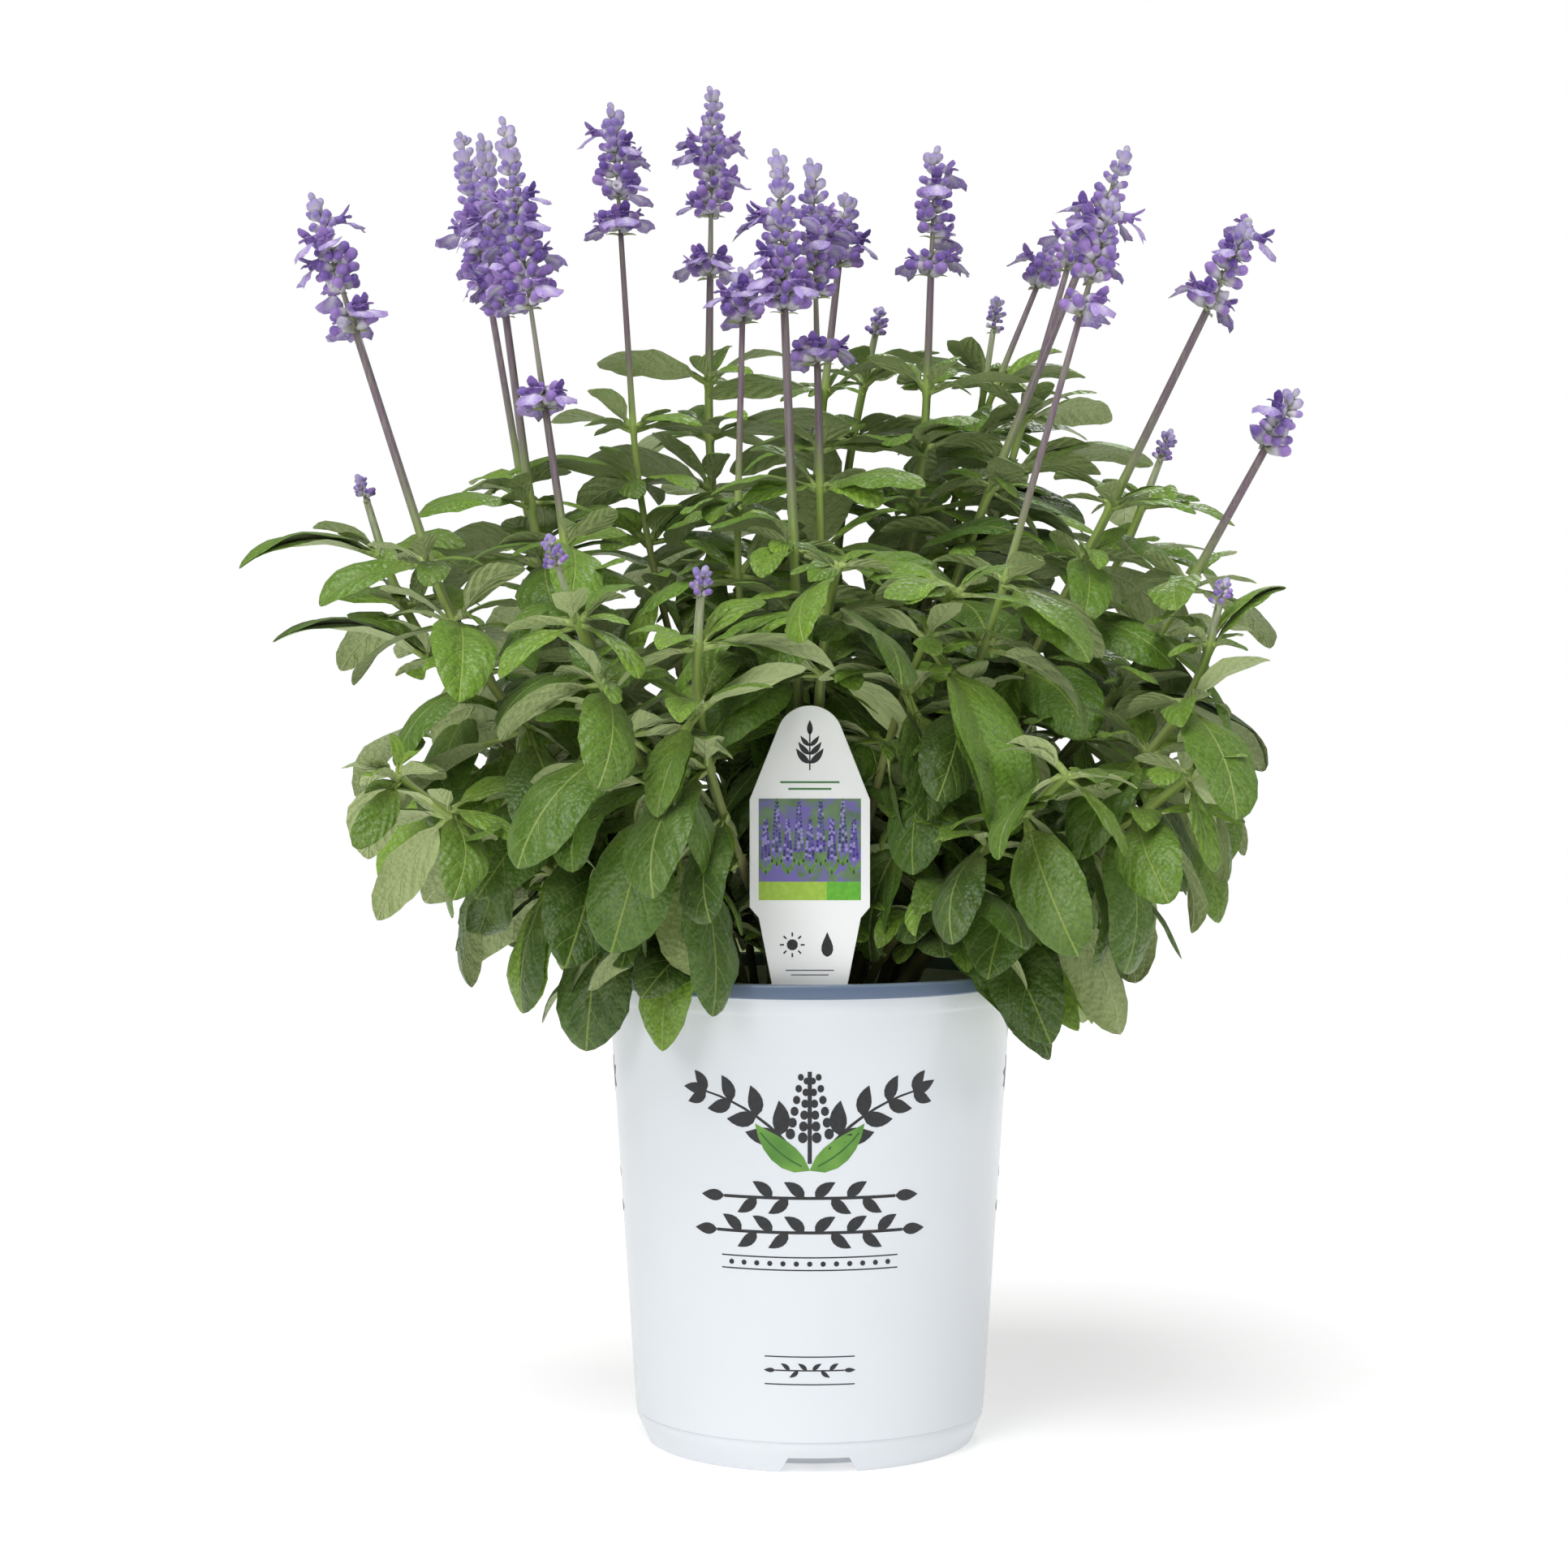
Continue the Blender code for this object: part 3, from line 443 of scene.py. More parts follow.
def rule_stroke(half, z, width):
    """A level line."""
    return stroke([(half * i / 8, z) for i in range(-8, 9)], [width / 2] * 17)


def dot_stroke(x, z, width, height):
    """An oval of ink."""
    shares = (0.02, 0.15, 0.35, 0.65, 0.85, 0.98)
    spine = [(x, z + (share - 0.5) * height) for share in shares]
    return stroke(spine, [width * math.sqrt(share * (1 - share)) for share in shares])


def vine_strokes(half, z, leaf, width, step):
    """A level vine with leaves that lean outwards, in turn above and below it."""
    strokes = [rule_stroke(half, z, 0.12 * leaf)]
    for side in (-1, 1):
        for i in range(int((half - leaf * 0.4) / step)):
            rise = (0.9, -0.9)[i % 2]
            angle = rise if side > 0 else math.pi - rise
            start = (side * (step * (i + 0.35)), z)
            strokes.append(leaf_stroke(start, angle, leaf, width, -side * rise * 0.6))
        strokes.append(leaf_stroke((side * half, z), math.pi / 2 * (1 - side), leaf, width, 0))
    return strokes


def spike_strokes(x, foot, height, reach, dot):
    """A flower spike in rows of dots that get smaller upwards, on a stalk."""
    stalk = [(x, foot + height * share) for share in (0, 0.6, 1.15)]
    strokes = [stroke(stalk, [0.22 * dot] * 3)]
    for row in range(6):
        share = row / 6
        for side in (-1, -0.36, 0.36, 1):
            place = x + side * reach * (1 - 0.65 * share)
            lift = foot + height * (0.3 + 0.85 * share) + reach * 0.3 * abs(side)
            size = dot * (1 - 0.45 * share)
            strokes.append(dot_stroke(place, lift, size, size * 1.15))
    return strokes


def spray_strokes(x, z, hand, size):
    """A leafy spray that arches out to one side, with leaves in pairs."""
    spine = curved((x, z), math.radians(90 - hand * 38), 40 * size, -hand * 0.75, 9)
    strokes = [stroke(spine, [0.6 * size * (1 - 0.06 * i) for i in range(9)])]
    for i in range(2, 9, 2):
        (x, z), before = spine[i], spine[i - 1]
        along = math.atan2(z - before[1], x - before[0])
        for side in (-1, 1):
            leaf = size * (13 - 0.6 * i)
            strokes.append(leaf_stroke((x, z), along + side * 0.95, leaf, leaf * 0.5, -side * 0.5))
    strokes.append(leaf_stroke(spine[-1], along, 9 * size, 3.8 * size))
    return strokes


def ink_mesh(name, strokes, surface):
    """Closed thin plates of ink on a surface, which turns (x, z, depth) into a place on it."""
    bm = bmesh.new()
    for lines in strokes:
        rings = []
        for line in lines:
            outer = [surface(x * MM, z * MM, INK_DEPTH) for x, z in line]
            inner = [surface(x * MM, z * MM, -INK_ROOT) for x, z in reversed(line)]
            rings.append(outer + inner)
        add_skin(bm, rings)
    return to_mesh(bm, name)


def on_pot(turn, lift):
    """Wraps (x, z) round the tapered wall, with x measured round it from the given side."""

    def surface(x, z, depth):
        radius = wall_radius(z) + depth + lift
        angle = turn + x / wall_radius(z)
        return Vector((radius * math.sin(angle), -radius * math.cos(angle), z))

    return surface


def pot_print():
    """The charcoal and the green strokes of the pot's print, in millimetres round and up it."""
    charcoal = spike_strokes(0, 118, 30, 7.2, 3.6)
    green, green_ribs = [], []
    for hand in (-1, 1):
        charcoal += spray_strokes(hand * 4, 120, hand, 1.12)
        angle = math.pi / 2 - hand * math.radians(62)
        green.append(leaf_stroke((0, 115.5), angle, 27, 9.5, hand * 0.5))
        green_ribs.append(stroke(curved((hand * 3, 117), angle, 20, hand * 0.45, 7), [0.3] * 7))
    charcoal += vine_strokes(33, 105, 9.6, 4.4, 6.0)
    charcoal += vine_strokes(36, 92, 9.6, 4.4, 6.0)
    charcoal += [rule_stroke(PRINT_WIDTH - 3, z, 0.5) for z in (82.6, 77.8)]
    charcoal += [dot_stroke(x, 80.2, 2.0, 2.0) for x in range(-30, 31, 5)]
    charcoal += [rule_stroke(17, z, 0.45) for z in (45, 34.5)]
    charcoal += vine_strokes(13, 39.8, 4.2, 1.7, 3.2)
    return charcoal, green, green_ribs


charcoal_ink = ink_finish("charcoal screen ink", "#17181b", "#232427")
leaf_ink = ink_finish("leaf green screen ink", "#437a26", "#67983a", patch=14)
rib_ink = ink_finish("dark green screen ink", "#225c1f", "#2a6a24")
inks = (("charcoal", charcoal_ink, 0), ("green", leaf_ink, 0.04), ("ribs", rib_ink, 0.08))
for side, turn in zip(("front", "right", "left"), PRINT_TURNS):
    for (kind, finish, lift), strokes in zip(inks, pot_print()):
        name = f"pot_print_{side}_{kind}"
        mesh = ink_mesh(name, strokes, on_pot(turn, lift * MM))
        show(add_piece(name, mesh, finish), "pot_plastic")


# The potting mix: a damp, crumbly mound of peat and bark, filled to just under the rim. Bark
# chips lie on it, and it fills the pot down to its floor.

SOIL_EDGE_HEIGHT = 170 * MM
SOIL_MOUND = 4 * MM
FIT_GAP = 0.3 * MM
SOIL_GAP = POT_WALL + 2 * FIT_GAP
SOIL_STEPS = 72
SOIL_RINGS = 16
CRUMB_SIZE = 5 * MM
CRUMB_HEIGHT = 2.2 * MM
CHIPS = 620
CHIP_SHAPES = 5
CHIP_SIZE = 4.2 * MM
CHIP_SPREAD = 74 * MM


def growing_tree(name):
    """Geometry Nodes that put a shape from a collection on each point, and join them to a core."""
    tree = bpy.data.node_groups.new(name, "GeometryNodeTree")
    for label, kind in (
        ("Points", "NodeSocketGeometry"),
        ("Core", "NodeSocketObject"),
        ("Shapes", "NodeSocketCollection"),
        ("Core finish", "NodeSocketMaterial"),
        ("Shape finish", "NodeSocketMaterial"),
    ):
        tree.interface.new_socket(label, in_out="INPUT", socket_type=kind)
    tree.interface.new_socket("Result", in_out="OUTPUT", socket_type="NodeSocketGeometry")
    given = add_node(tree, "NodeGroupInput").node.outputs
    shapes = add_node(
        tree,
        "GeometryNodeCollectionInfo",
        {"Collection": given["Shapes"], "Separate Children": True, "Reset Children": True},
    )
    shape, turn, size = [
        add_node(tree, "GeometryNodeInputNamedAttribute", {"Name": label}, data_type=kind)
        for label, kind in (("shape", "INT"), ("turn", "FLOAT_VECTOR"), ("size", "FLOAT"))
    ]
    placed = add_node(
        tree,
        "GeometryNodeInstanceOnPoints",
        {
            "Points": given["Points"],
            "Instance": shapes,
            "Pick Instance": True,
            "Instance Index": shape,
            "Rotation": add_node(tree, "FunctionNodeEulerToRotation", {"Euler": turn}),
            "Scale": size,
        },
    )
    real = add_node(tree, "GeometryNodeRealizeInstances", {"Geometry": placed})
    core = add_node(tree, "GeometryNodeObjectInfo", {"Object": given["Core"]}, "Geometry")
    joined = add_node(tree, "GeometryNodeJoinGeometry")
    for part, finish in ((core, "Core finish"), (real, "Shape finish")):
        inputs = {"Geometry": part, "Material": given[finish]}
        finished = add_node(tree, "GeometryNodeSetMaterial", inputs)
        tree.links.new(finished, joined.node.inputs[0])
    add_node(tree, "NodeGroupOutput", {"Result": joined})
    return tree


def grow(name, points, tree, core, shapes, core_finish, shape_finish):
    """One finished piece: the core mesh with a shape on each point, as a plain mesh."""
    piece = add_piece(name, points)
    core = add_piece(f"core of {name}", core)
    modifier = piece.modifiers.new("grow", "NODES")
    modifier.node_group = tree
    given = {"Core": core, "Shapes": shapes}
    given |= {"Core finish": core_finish, "Shape finish": shape_finish}
    for socket in tree.interface.items_tree:
        if socket.name in given:
            modifier[socket.identifier] = given[socket.name]
    apply_modifiers(piece)
    bpy.data.objects.remove(core)
    return piece


def shape_collection(name, meshes):
    group = bpy.data.collections.new(name)
    for i, mesh in enumerate(meshes):
        group.objects.link(bpy.data.objects.new(f"{name} {i:03d}", mesh))
    return group


def clear_collection(group):
    for made in list(group.objects):
        bpy.data.objects.remove(made)
    bpy.data.collections.remove(group)


def points_mesh(name, places, **values):
    """A point for each shape that grows, with what its shape, turn, size and looks are."""
    mesh = bpy.data.meshes.new(name)
    mesh.from_pydata(places, [], [])
    kinds = {"shape": ("INT", "value"), "turn": ("FLOAT_VECTOR", "vector")}
    for label, numbers in values.items():
        kind, field = kinds.get(label, ("FLOAT", "value"))
        mesh.attributes.new(label, kind, "POINT").data.foreach_set(field, numbers)
    return mesh


def soil_top(x, y):
    """The height of the mix, a low mound with crumbs."""
    share = min(1, math.hypot(x, y) / POT_NECK_RADIUS)
    crumbs = noise.noise(Vector((x, y, 0)) / CRUMB_SIZE)
    crumbs += 0.5 * noise.noise(Vector((x, y, 9)) * 2.3 / CRUMB_SIZE)
    return SOIL_EDGE_HEIGHT + SOIL_MOUND * (1 - share**2) + crumbs * CRUMB_HEIGHT * 0.5


def soil_mesh():
    """The mix as one closed solid: a crumbly top, the pot's taper and a boss in its floor."""
    edge = wall_radius(SOIL_EDGE_HEIGHT) - SOIL_GAP
    floor_height = DRAIN_RISE + POT_WALL + FIT_GAP
    boss = PAD_RADIUS - SOIL_GAP
    rows = [(edge * max(i, 0.02) / SOIL_RINGS, None) for i in range(SOIL_RINGS + 1)]
    rows += [(POT_SHOULDER_RADIUS - SOIL_GAP, floor_height)]
    rows += [(boss, floor_height), (boss, POT_WALL + FIT_GAP)]
    rings = []
    for radius, height in rows:
        ring = []
        for i in range(SOIL_STEPS):
            turn = i * math.tau / SOIL_STEPS
            x, y = radius * math.cos(turn), radius * math.sin(turn)
            ring.append(Vector((x, y, soil_top(x, y) if height is None else height)))
        rings.append(ring)
    return loft("mound", rings)


def chip_mesh(name, rng):
    """A split bark chip: a flat block, pulled out of square."""
    rings = []
    for end in (-1, -0.4, 0.5, 1):
        half = (1 - 0.45 * end * end) * rng.uniform(0.7, 1.1)
        ring = []
        for y, z in ((-1, -0.3), (1, -0.3), (0.8, 0.35), (-0.7, 0.3)):
            corner = Vector((end * 1.5, y * half * 0.6, z * half * rng.uniform(0.6, 1.2)))
            ring.append(corner * CHIP_SIZE / 2)
        rings.append(ring)
    return loft(name, rings)


def mix_finish(name, dark, light, size):
    """Damp peat or bark: rough and dark, with paler dry fibres."""
    made, tree, shader, where = start_material(name)
    fibres = add_node(tree, "TexNoise", {"Vector": where, "Scale": 1 / size, "Detail": 5.0})
    dry = add_node(tree, "MapRange", (fibres, 0.4, 0.65))
    browns = add_node(tree, "Mix", {0: dry, 6: dark, 7: light}, 2, data_type="RGBA")
    bump = add_node(tree, "Bump", {"Height": fibres, "Distance": 0.6 * MM, "Strength": 0.9})
    connect(shader, {"Base Color": browns, "Normal": bump, "Roughness": 0.92})
    return made


rng = random.Random(3)
chips = shape_collection("chip", [chip_mesh(f"chip {i}", rng) for i in range(CHIP_SHAPES)])
places, turns = [], []
for _ in range(CHIPS):
    turn, radius = rng.uniform(0, math.tau), CHIP_SPREAD * math.sqrt(rng.random())
    x, y = radius * math.cos(turn), radius * math.sin(turn)
    places.append((x, y, soil_top(x, y) + 0.3 * MM))
    turns += (rng.uniform(-0.5, 0.5), rng.uniform(-0.5, 0.5), rng.uniform(0, math.tau))
chip_points = points_mesh(
    "chip points",
    places,
    shape=[rng.randrange(CHIP_SHAPES) for _ in places],
    turn=turns,
    size=[rng.uniform(0.5, 1.2) for _ in places],
)
peat = mix_finish("damp peat mix", "#1c140e", "#4a3626", 2.5 * MM)
bark = mix_finish("composted bark", "#33241a", "#7a5c41", 3.5 * MM)
strewing = growing_tree("chips on the mix")
soil = grow("potting_mix_top", chip_points, strewing, soil_mesh(), chips, peat, bark)
show(soil, "potting_mix", "potting_mix")
clear_collection(chips)


# The label: a die-cut white polystyrene stake with a domed top, pushed into the mix behind the
# front of the rim. Its print is a plain pattern of violet spikes over two green bars, with a
# sprig above and signs for sun and water below.

LABEL_TOP = 288 * MM
LABEL_DISTANCE = 70 * MM
LABEL_THICKNESS = 0.8 * MM
LABEL_HALF_WIDTH = 22.4 * MM

# The label's outline and the places of its print, in millimetres from the top of its dome.
LABEL_DOME_RADIUS = 12.5
LABEL_DOME_ANGLE = math.radians(70)
LABEL_DOME_POINTS = 17
LABEL_SIDE = ((22.4, 35), (22.4, 75), (19, 79), (2, 165))
LABEL_EDGE = 0.15
PANEL_TOP = 34.6
PANEL_FOOT = 65.5
PANEL_HALF = 19
BAR_FOOT = 72.4
BAR_SPLIT = 6.3
SUN_PLACE = (-6.5, -89)
DROP_PLACE = 6.5


def label_outline(inset):
    """The label's outline, right side then left, as (x, drop) in millimetres."""
    angles = [LABEL_DOME_ANGLE * i / (LABEL_DOME_POINTS - 1) for i in range(LABEL_DOME_POINTS)]
    radius = LABEL_DOME_RADIUS
    dome = [(radius * math.sin(a), radius * (1 - math.cos(a))) for a in angles]
    right = dome[1:] + list(LABEL_SIDE)
    right = [(x - inset, drop + inset * (1 - x / LABEL_SIDE[0][0])) for x, drop in right]
    return [(0, inset)] + right + [(-x, drop) for x, drop in reversed(right)]


def on_label(x, z, depth):
    """A place on the label's face, with z measured up from its top."""
    return Vector((x, -LABEL_DISTANCE - LABEL_THICKNESS / 2 - depth, LABEL_TOP + z))


def label_mesh():
    """The sheet, with its edges barely rounded."""
    rings = []
    for depth, inset in ((0, LABEL_EDGE), (-0.15, 0), (-0.65, 0), (-0.8, LABEL_EDGE)):
        rings.append([on_label(x * MM, -drop * MM, depth * MM) for x, drop in label_outline(inset)])
    return loft("plant_label_sheet", rings)


def bar(left, right, top, foot):
    """A flat block of ink between two heights below the label's top."""
    middle, half = -(top + foot) / 2, (foot - top) / 2
    return stroke([(left + (right - left) * i / 6, middle) for i in range(7)], [half] * 7)


def label_sprig():
    """A small upright sprig: stalk and leaves."""
    strokes = [stroke([(0, -24), (0, -18), (0, -9)], [0.25] * 3)]
    for i, z in enumerate((-21.5, -18.2, -15)):
        for side in (-1, 1):
            angle = math.pi / 2 - side * 0.95
            strokes.append(leaf_stroke((0, z), angle, 7.5 - 1.2 * i, 2.5 - 0.4 * i, side * 0.5))
    strokes.append(leaf_stroke((0, -11), math.pi / 2, 5.5, 2.2, 0))
    return strokes


def sun_and_drop():
    """Plain signs for sun and water."""
    x, z = SUN_PLACE
    strokes = [dot_stroke(x, z, 4.2, 4.2)]
    for i in range(8):
        turn = i * math.pi / 4
        spine = [(x + r * math.cos(turn), z + r * math.sin(turn)) for r in (3.1, 3.8, 4.6)]
        strokes.append(stroke(spine, [0.3] * 3))
    halves = (0.1, 0.75, 1.5, 2.1, 2.2, 1.6, 0.4)
    spine = [(DROP_PLACE, z) for z in (-84.4, -86, -87.6, -89.4, -91, -92.5, -93.4)]
    strokes.append(stroke(spine, halves))
    return strokes


def printed_spikes(rng):
    """Rows of flower spikes for the picture panel, as strokes in three violets and in green."""
    inks = [[], [], [], []]
    for i in range(9):
        x = -16.4 + 4.1 * i
        foot, height = -63.5 + 3 * (i % 2), 22 + 4 * (i % 2)
        inks[3].append(stroke([(x, foot), (x, foot + height / 2), (x, foot + height)], [0.2] * 3))
        for hand in (-1, 1):
            inks[3].append(leaf_stroke((x, foot + 1), math.pi / 2 - hand * 0.6, 6, 1.7, hand * 0.4))
        for row in range(13):
            share = row / 13
            for side in (-1, 0, 1):
                reach = 1.35 * (1 - 0.75 * share)
                z = foot + 6.5 + (height - 7) * share + 0.5 * abs(side)
                size = 1.25 * (1 - 0.45 * share)
                inks[rng.randrange(3)].append(dot_stroke(x + side * reach, z, size, size * 1.2))
    return inks


# White polystyrene sheet: smooth, with a satin sheen and barely uneven.
sheet_finish, tree, shader, where = start_material("white polystyrene sheet")
cloud = add_node(tree, "TexNoise", {"Vector": where, "Scale": 1 / (30 * MM), "Detail": 2.0})
whites = add_node(tree, "Mix", {0: cloud, 6: "#f8f9fb", 7: "#fcfdfe"}, 2, data_type="RGBA")
connect(shader, {"Base Color": whites, "Roughness": 0.32})
label = add_piece("plant_label_sheet", label_mesh(), sheet_finish)
show(label, "label_plastic", "plant_label")

# The panel's ground is a soft, out of focus meadow in greens and violets.
meadow_ink, tree, shader, where = start_material("meadow offset ink")
blooms = add_node(tree, "TexNoise", {"Vector": where, "Scale": 1 / (4 * MM), "Detail": 2.0})
lights = add_node(tree, "TexNoise", {"Vector": where, "Scale": 1 / (7 * MM), "Detail": 1.0})
bloomy = add_node(tree, "MapRange", (blooms, 0.42, 0.6))
meadow = "#3d5c3a"
for share, code in ((lights, "#7d9a72"), (bloomy, "#7466b4")):
    meadow = add_node(tree, "Mix", {0: share, 6: meadow, 7: code}, 2, data_type="RGBA")
connect(shader, {"Base Color": meadow, "Roughness": 0.3})

spikes = printed_spikes(random.Random(8))
rules = [rule_stroke(half, z, 0.7) for half, z in ((11, -28.5), (8, -31))]
lower = [rule_stroke(half, z, 0.35) for half, z in ((9, -98.5), (7, -100.2))]
light_green = ink_finish("light green ink", "#9dc13f", "#a9cb4c")
mid_green = ink_finish("mid green ink", "#5dab2b", "#69bb33")
grass_green = ink_finish("grass green ink", "#39783a", "#417f40")
prints = (
    ("panel", [bar(-PANEL_HALF, PANEL_HALF, PANEL_TOP, PANEL_FOOT)], meadow_ink, 0),
    ("light_bar", [bar(-PANEL_HALF, BAR_SPLIT, PANEL_FOOT, BAR_FOOT)], light_green, 0),
    ("green_bar", [bar(BAR_SPLIT, PANEL_HALF, PANEL_FOOT, BAR_FOOT)], mid_green, 0),
    ("sprig", label_sprig() + sun_and_drop() + lower, charcoal_ink, 0),
    ("rules", rules, grass_green, 0),
    ("violet_dots", spikes[0], ink_finish("violet ink", "#554699", "#6254ab"), 0.05),
    ("lilac_dots", spikes[1], ink_finish("lilac ink", "#958acb", "#a197d6"), 0.05),
    ("deep_dots", spikes[2], ink_finish("deep violet ink", "#3a2f7a", "#45398c"), 0.05),
    ("stalks", spikes[3], ink_finish("stalk green ink", "#587f40", "#68944d"), 0.03),
)
for kind, strokes, finish, lift in prints:
    name = f"label_print_{kind}"
    mesh = ink_mesh(name, strokes, lambda x, z, depth: on_label(x, z, depth + lift * MM))
    show(add_piece(name, mesh, finish), "label_plastic")


# The leaves: thin blades on slim petioles, in crossed pairs up each stem. The upper face is olive
# green and waxy with sunken yellow-green veins, the lower one pale with raised ribs, and short
# hairs give both a mealy bloom. Grey patches on the upper face are partly that bloom and partly a
# painted sheen, and the lower face is lightened further by painted light shining through the blade.

# The forms of the solids' leaves: the petiole's length and the blade's length and width in
# millimetres, and how many degrees the whole leaf bends down.
LEAF_FORMS = (
    (5, 32, 14, 45),
    (6, 44, 21, 60),
    (8, 52, 26, 66),
    (11, 55, 31, 60),
    (15, 56, 34, 50),
    (18, 57, 32, 42),
    (3, 19, 9, 50),
    (4, 27, 13, 60),
)
LEAF_VARIANTS = 4
LEAF_FOLD = math.radians(15)
FOLD_SPREAD = math.radians(13)
PETIOLE_HALF_WIDTH = 1.1 * MM
PETIOLE_THICKNESS = 1.6 * MM
RIB_DEPTH = 0.9 * MM
BLADE_THICKNESS = 0.4 * MM
RIB_GROOVE = 0.45 * MM
EDGE_WAVE = 0.07
EDGE_TEETH = 0.02
LARGE_LEAF = 40
LARGE_LEAF_RINGS = 13
SMALL_LEAF_RINGS = 8
ARCH_STEPS = 24
ARCH_POWER = 1.5
BLADE_POWERS = (0.5, 0.72)
ACROSS = (-1, -0.64, -0.24, 0, 0.24, 0.64, 1)
UNDER = (0.64, 0, -0.64)
VEIN_PAIRS = 4.6
VEIN_LIFT = 0.3
VEIN_CURVE = 0.22


def arch(form):
    """Evenly spaced (point, pitch) along a leaf's midrib, which starts along +X and bends down."""
    step = (form[0] + form[1]) * MM / ARCH_STEPS
    point, places = Vector(), []
    for i in range(ARCH_STEPS + 1):
        pitch = -math.radians(form[3]) * (i / ARCH_STEPS) ** ARCH_POWER
        places.append((point.copy(), pitch))
        point += Vector((math.cos(pitch), 0, math.sin(pitch))) * step
    return places


def arch_at(places, u):
    """The midrib's point and pitch at u, from 0 at the root to 1 at the tip."""
    index = min(int(u * ARCH_STEPS), ARCH_STEPS - 1)
    part = u * ARCH_STEPS - index
    (a, first), (b, second) = places[index], places[index + 1]
    return a.lerp(b, part), first + (second - first) * part


class LeafShape:
    """One variant of a leaf form: how it folds, rolls its edges under and waves them."""

    def __init__(self, form, rng):
        self.form = form
        self.places = arch(form)
        self.start = form[0] / (form[0] + form[1])
        self.fold = LEAF_FOLD + rng.uniform(-FOLD_SPREAD, FOLD_SPREAD)
        self.roll = rng.uniform(0.06, 0.42)
        self.waves = rng.uniform(1.4, 2.8)
        self.phases = rng.uniform(0, math.tau), rng.uniform(0, math.tau)
        self.swing = rng.uniform(-2.6, 2.6) * MM
        self.powers = rng.uniform(*BLADE_POWERS), rng.uniform(*BLADE_POWERS)

    def blade(self, v):
        """Half the blade's width at v, from 0 at the petiole to 1 at the tip."""
        base, tip = self.powers
        peak = (base / (base + tip)) ** base * (tip / (base + tip)) ** tip
        return self.form[2] * MM / 2 * v**base * (1 - v) ** tip / peak

    def stations(self):
        """(u, v, row) of each ring: v is -1 on the petiole and from 0 to 1 on the blade."""
        count = LARGE_LEAF_RINGS if self.form[1] > LARGE_LEAF else SMALL_LEAF_RINGS
        rings = [(-0.02, -1), (self.start * 0.5, -1)]
        for i in range(count):
            share = i / (count - 1)
            v = 0.015 + 0.97 * (share + math.sin(math.pi / 2 * share)) / 2
            rings.append((self.start + (1 - self.start) * v, v))
        return rings

    def ring(self, u, v, row):
        """Ten points round the leaf: seven over its upper face, three back under it."""
        point, pitch = arch_at(self.places, max(u, 0))
        if u < 0:
            point = Vector((self.form[0] + self.form[1], 0, 0)) * MM * u
        normal = Vector((-math.sin(pitch), 0, math.cos(pitch)))
        if v < 0:
            return self.petiole_ring(point, normal)
        half = max(self.blade(v), PETIOLE_HALF_WIDTH * (1 - v) ** 2)
        half *= 1 + EDGE_TEETH * (1 if row % 2 else -1) * min(1, v * 3)
        point = point + Vector((0, self.swing * math.sin(math.pi * v), 0))
        reach = half / (self.form[2] * MM / 2)
        points = []
        for t in ACROSS:
            side = 1 if t > 0 else 0
            wave = math.sin(self.waves * math.tau * v + self.phases[side]) * EDGE_WAVE * t * t
            lift = abs(t) * math.sin(self.fold) - abs(t) ** 3 * self.roll + wave
            sink = RIB_GROOVE * (1 - v) if t == 0 else 0
            outward = Vector((0, t * half * math.cos(self.fold), 0))
            points.append(point + outward + normal * (lift * half - sink))
        for t in UNDER:
            over = points[ACROSS.index(t)]
            depth = RIB_DEPTH * (1 - 0.7 * v) if t == 0 else BLADE_THICKNESS * min(1, reach * 2)
            points.append(over - normal * depth)
        return points

    @staticmethod
    def petiole_ring(point, normal):
        """The petiole is round below and channelled above."""
        lifts = [(t, 0.35 * abs(t) * PETIOLE_HALF_WIDTH) for t in ACROSS]
        lifts += [(t, -PETIOLE_THICKNESS * (1 - 0.35 * abs(t))) for t in UNDER]
        return [point + Vector((0, t * PETIOLE_HALF_WIDTH, 0)) + normal * lift for t, lift in lifts]


def leaf_mesh(name, shape):
    """A closed leaf with corner values: where on the blade each one is, and which face it is on."""
    bm = bmesh.new()
    blade = bm.loops.layers.float_vector.new("blade")
    stations = shape.stations()
    rows = [[bm.verts.new(p) for p in shape.ring(u, v, row)] for row, (u, v) in enumerate(stations)]
    tip = bm.verts.new(arch_at(shape.places, 1)[0])
    across = (*ACROSS, *UNDER)
    half = shape.form[2] * MM / 2
    for row, (_, v) in enumerate(stations):
        for i, t in enumerate(across):
            j = (i + 1) % len(across)
            corners = [(rows[row][i], v, t), (rows[row][j], v, across[j])]
            if row == len(stations) - 1:
                corners.append((tip, 1, 0))
            else:
                after = stations[row + 1][1]
                corners += [(rows[row + 1][j], after, across[j]), (rows[row + 1][i], after, t)]
            under = 1 if i >= len(ACROSS) - 1 else 0
            # Both faces split along the same diagonal, so that neither shows through the other.
            splits = ((0, 1, 3), (1, 2, 3)) if under else ((0, 1, 2), (0, 2, 3))
            for split in splits if len(corners) == 4 else ((0, 1, 2),):
                three = [corners[k] for k in split]
                made = bm.faces.new([corner[0] for corner in three])
                made.smooth = True
                for loop, (_, along, t) in zip(made.loops, three):
                    wide = PETIOLE_HALF_WIDTH if along < 0 else shape.blade(min(along, 0.999))
                    loop[blade] = (along, t * max(wide, 0.2 * MM) / half, under)
    bm.faces.new(rows[0])
    for low, high in zip(rows[2:], rows[3:]):
        for k in (0, len(ACROSS) - 1):
            bm.edges.get((low[k], high[k])).smooth = False
    return to_mesh(bm, name)
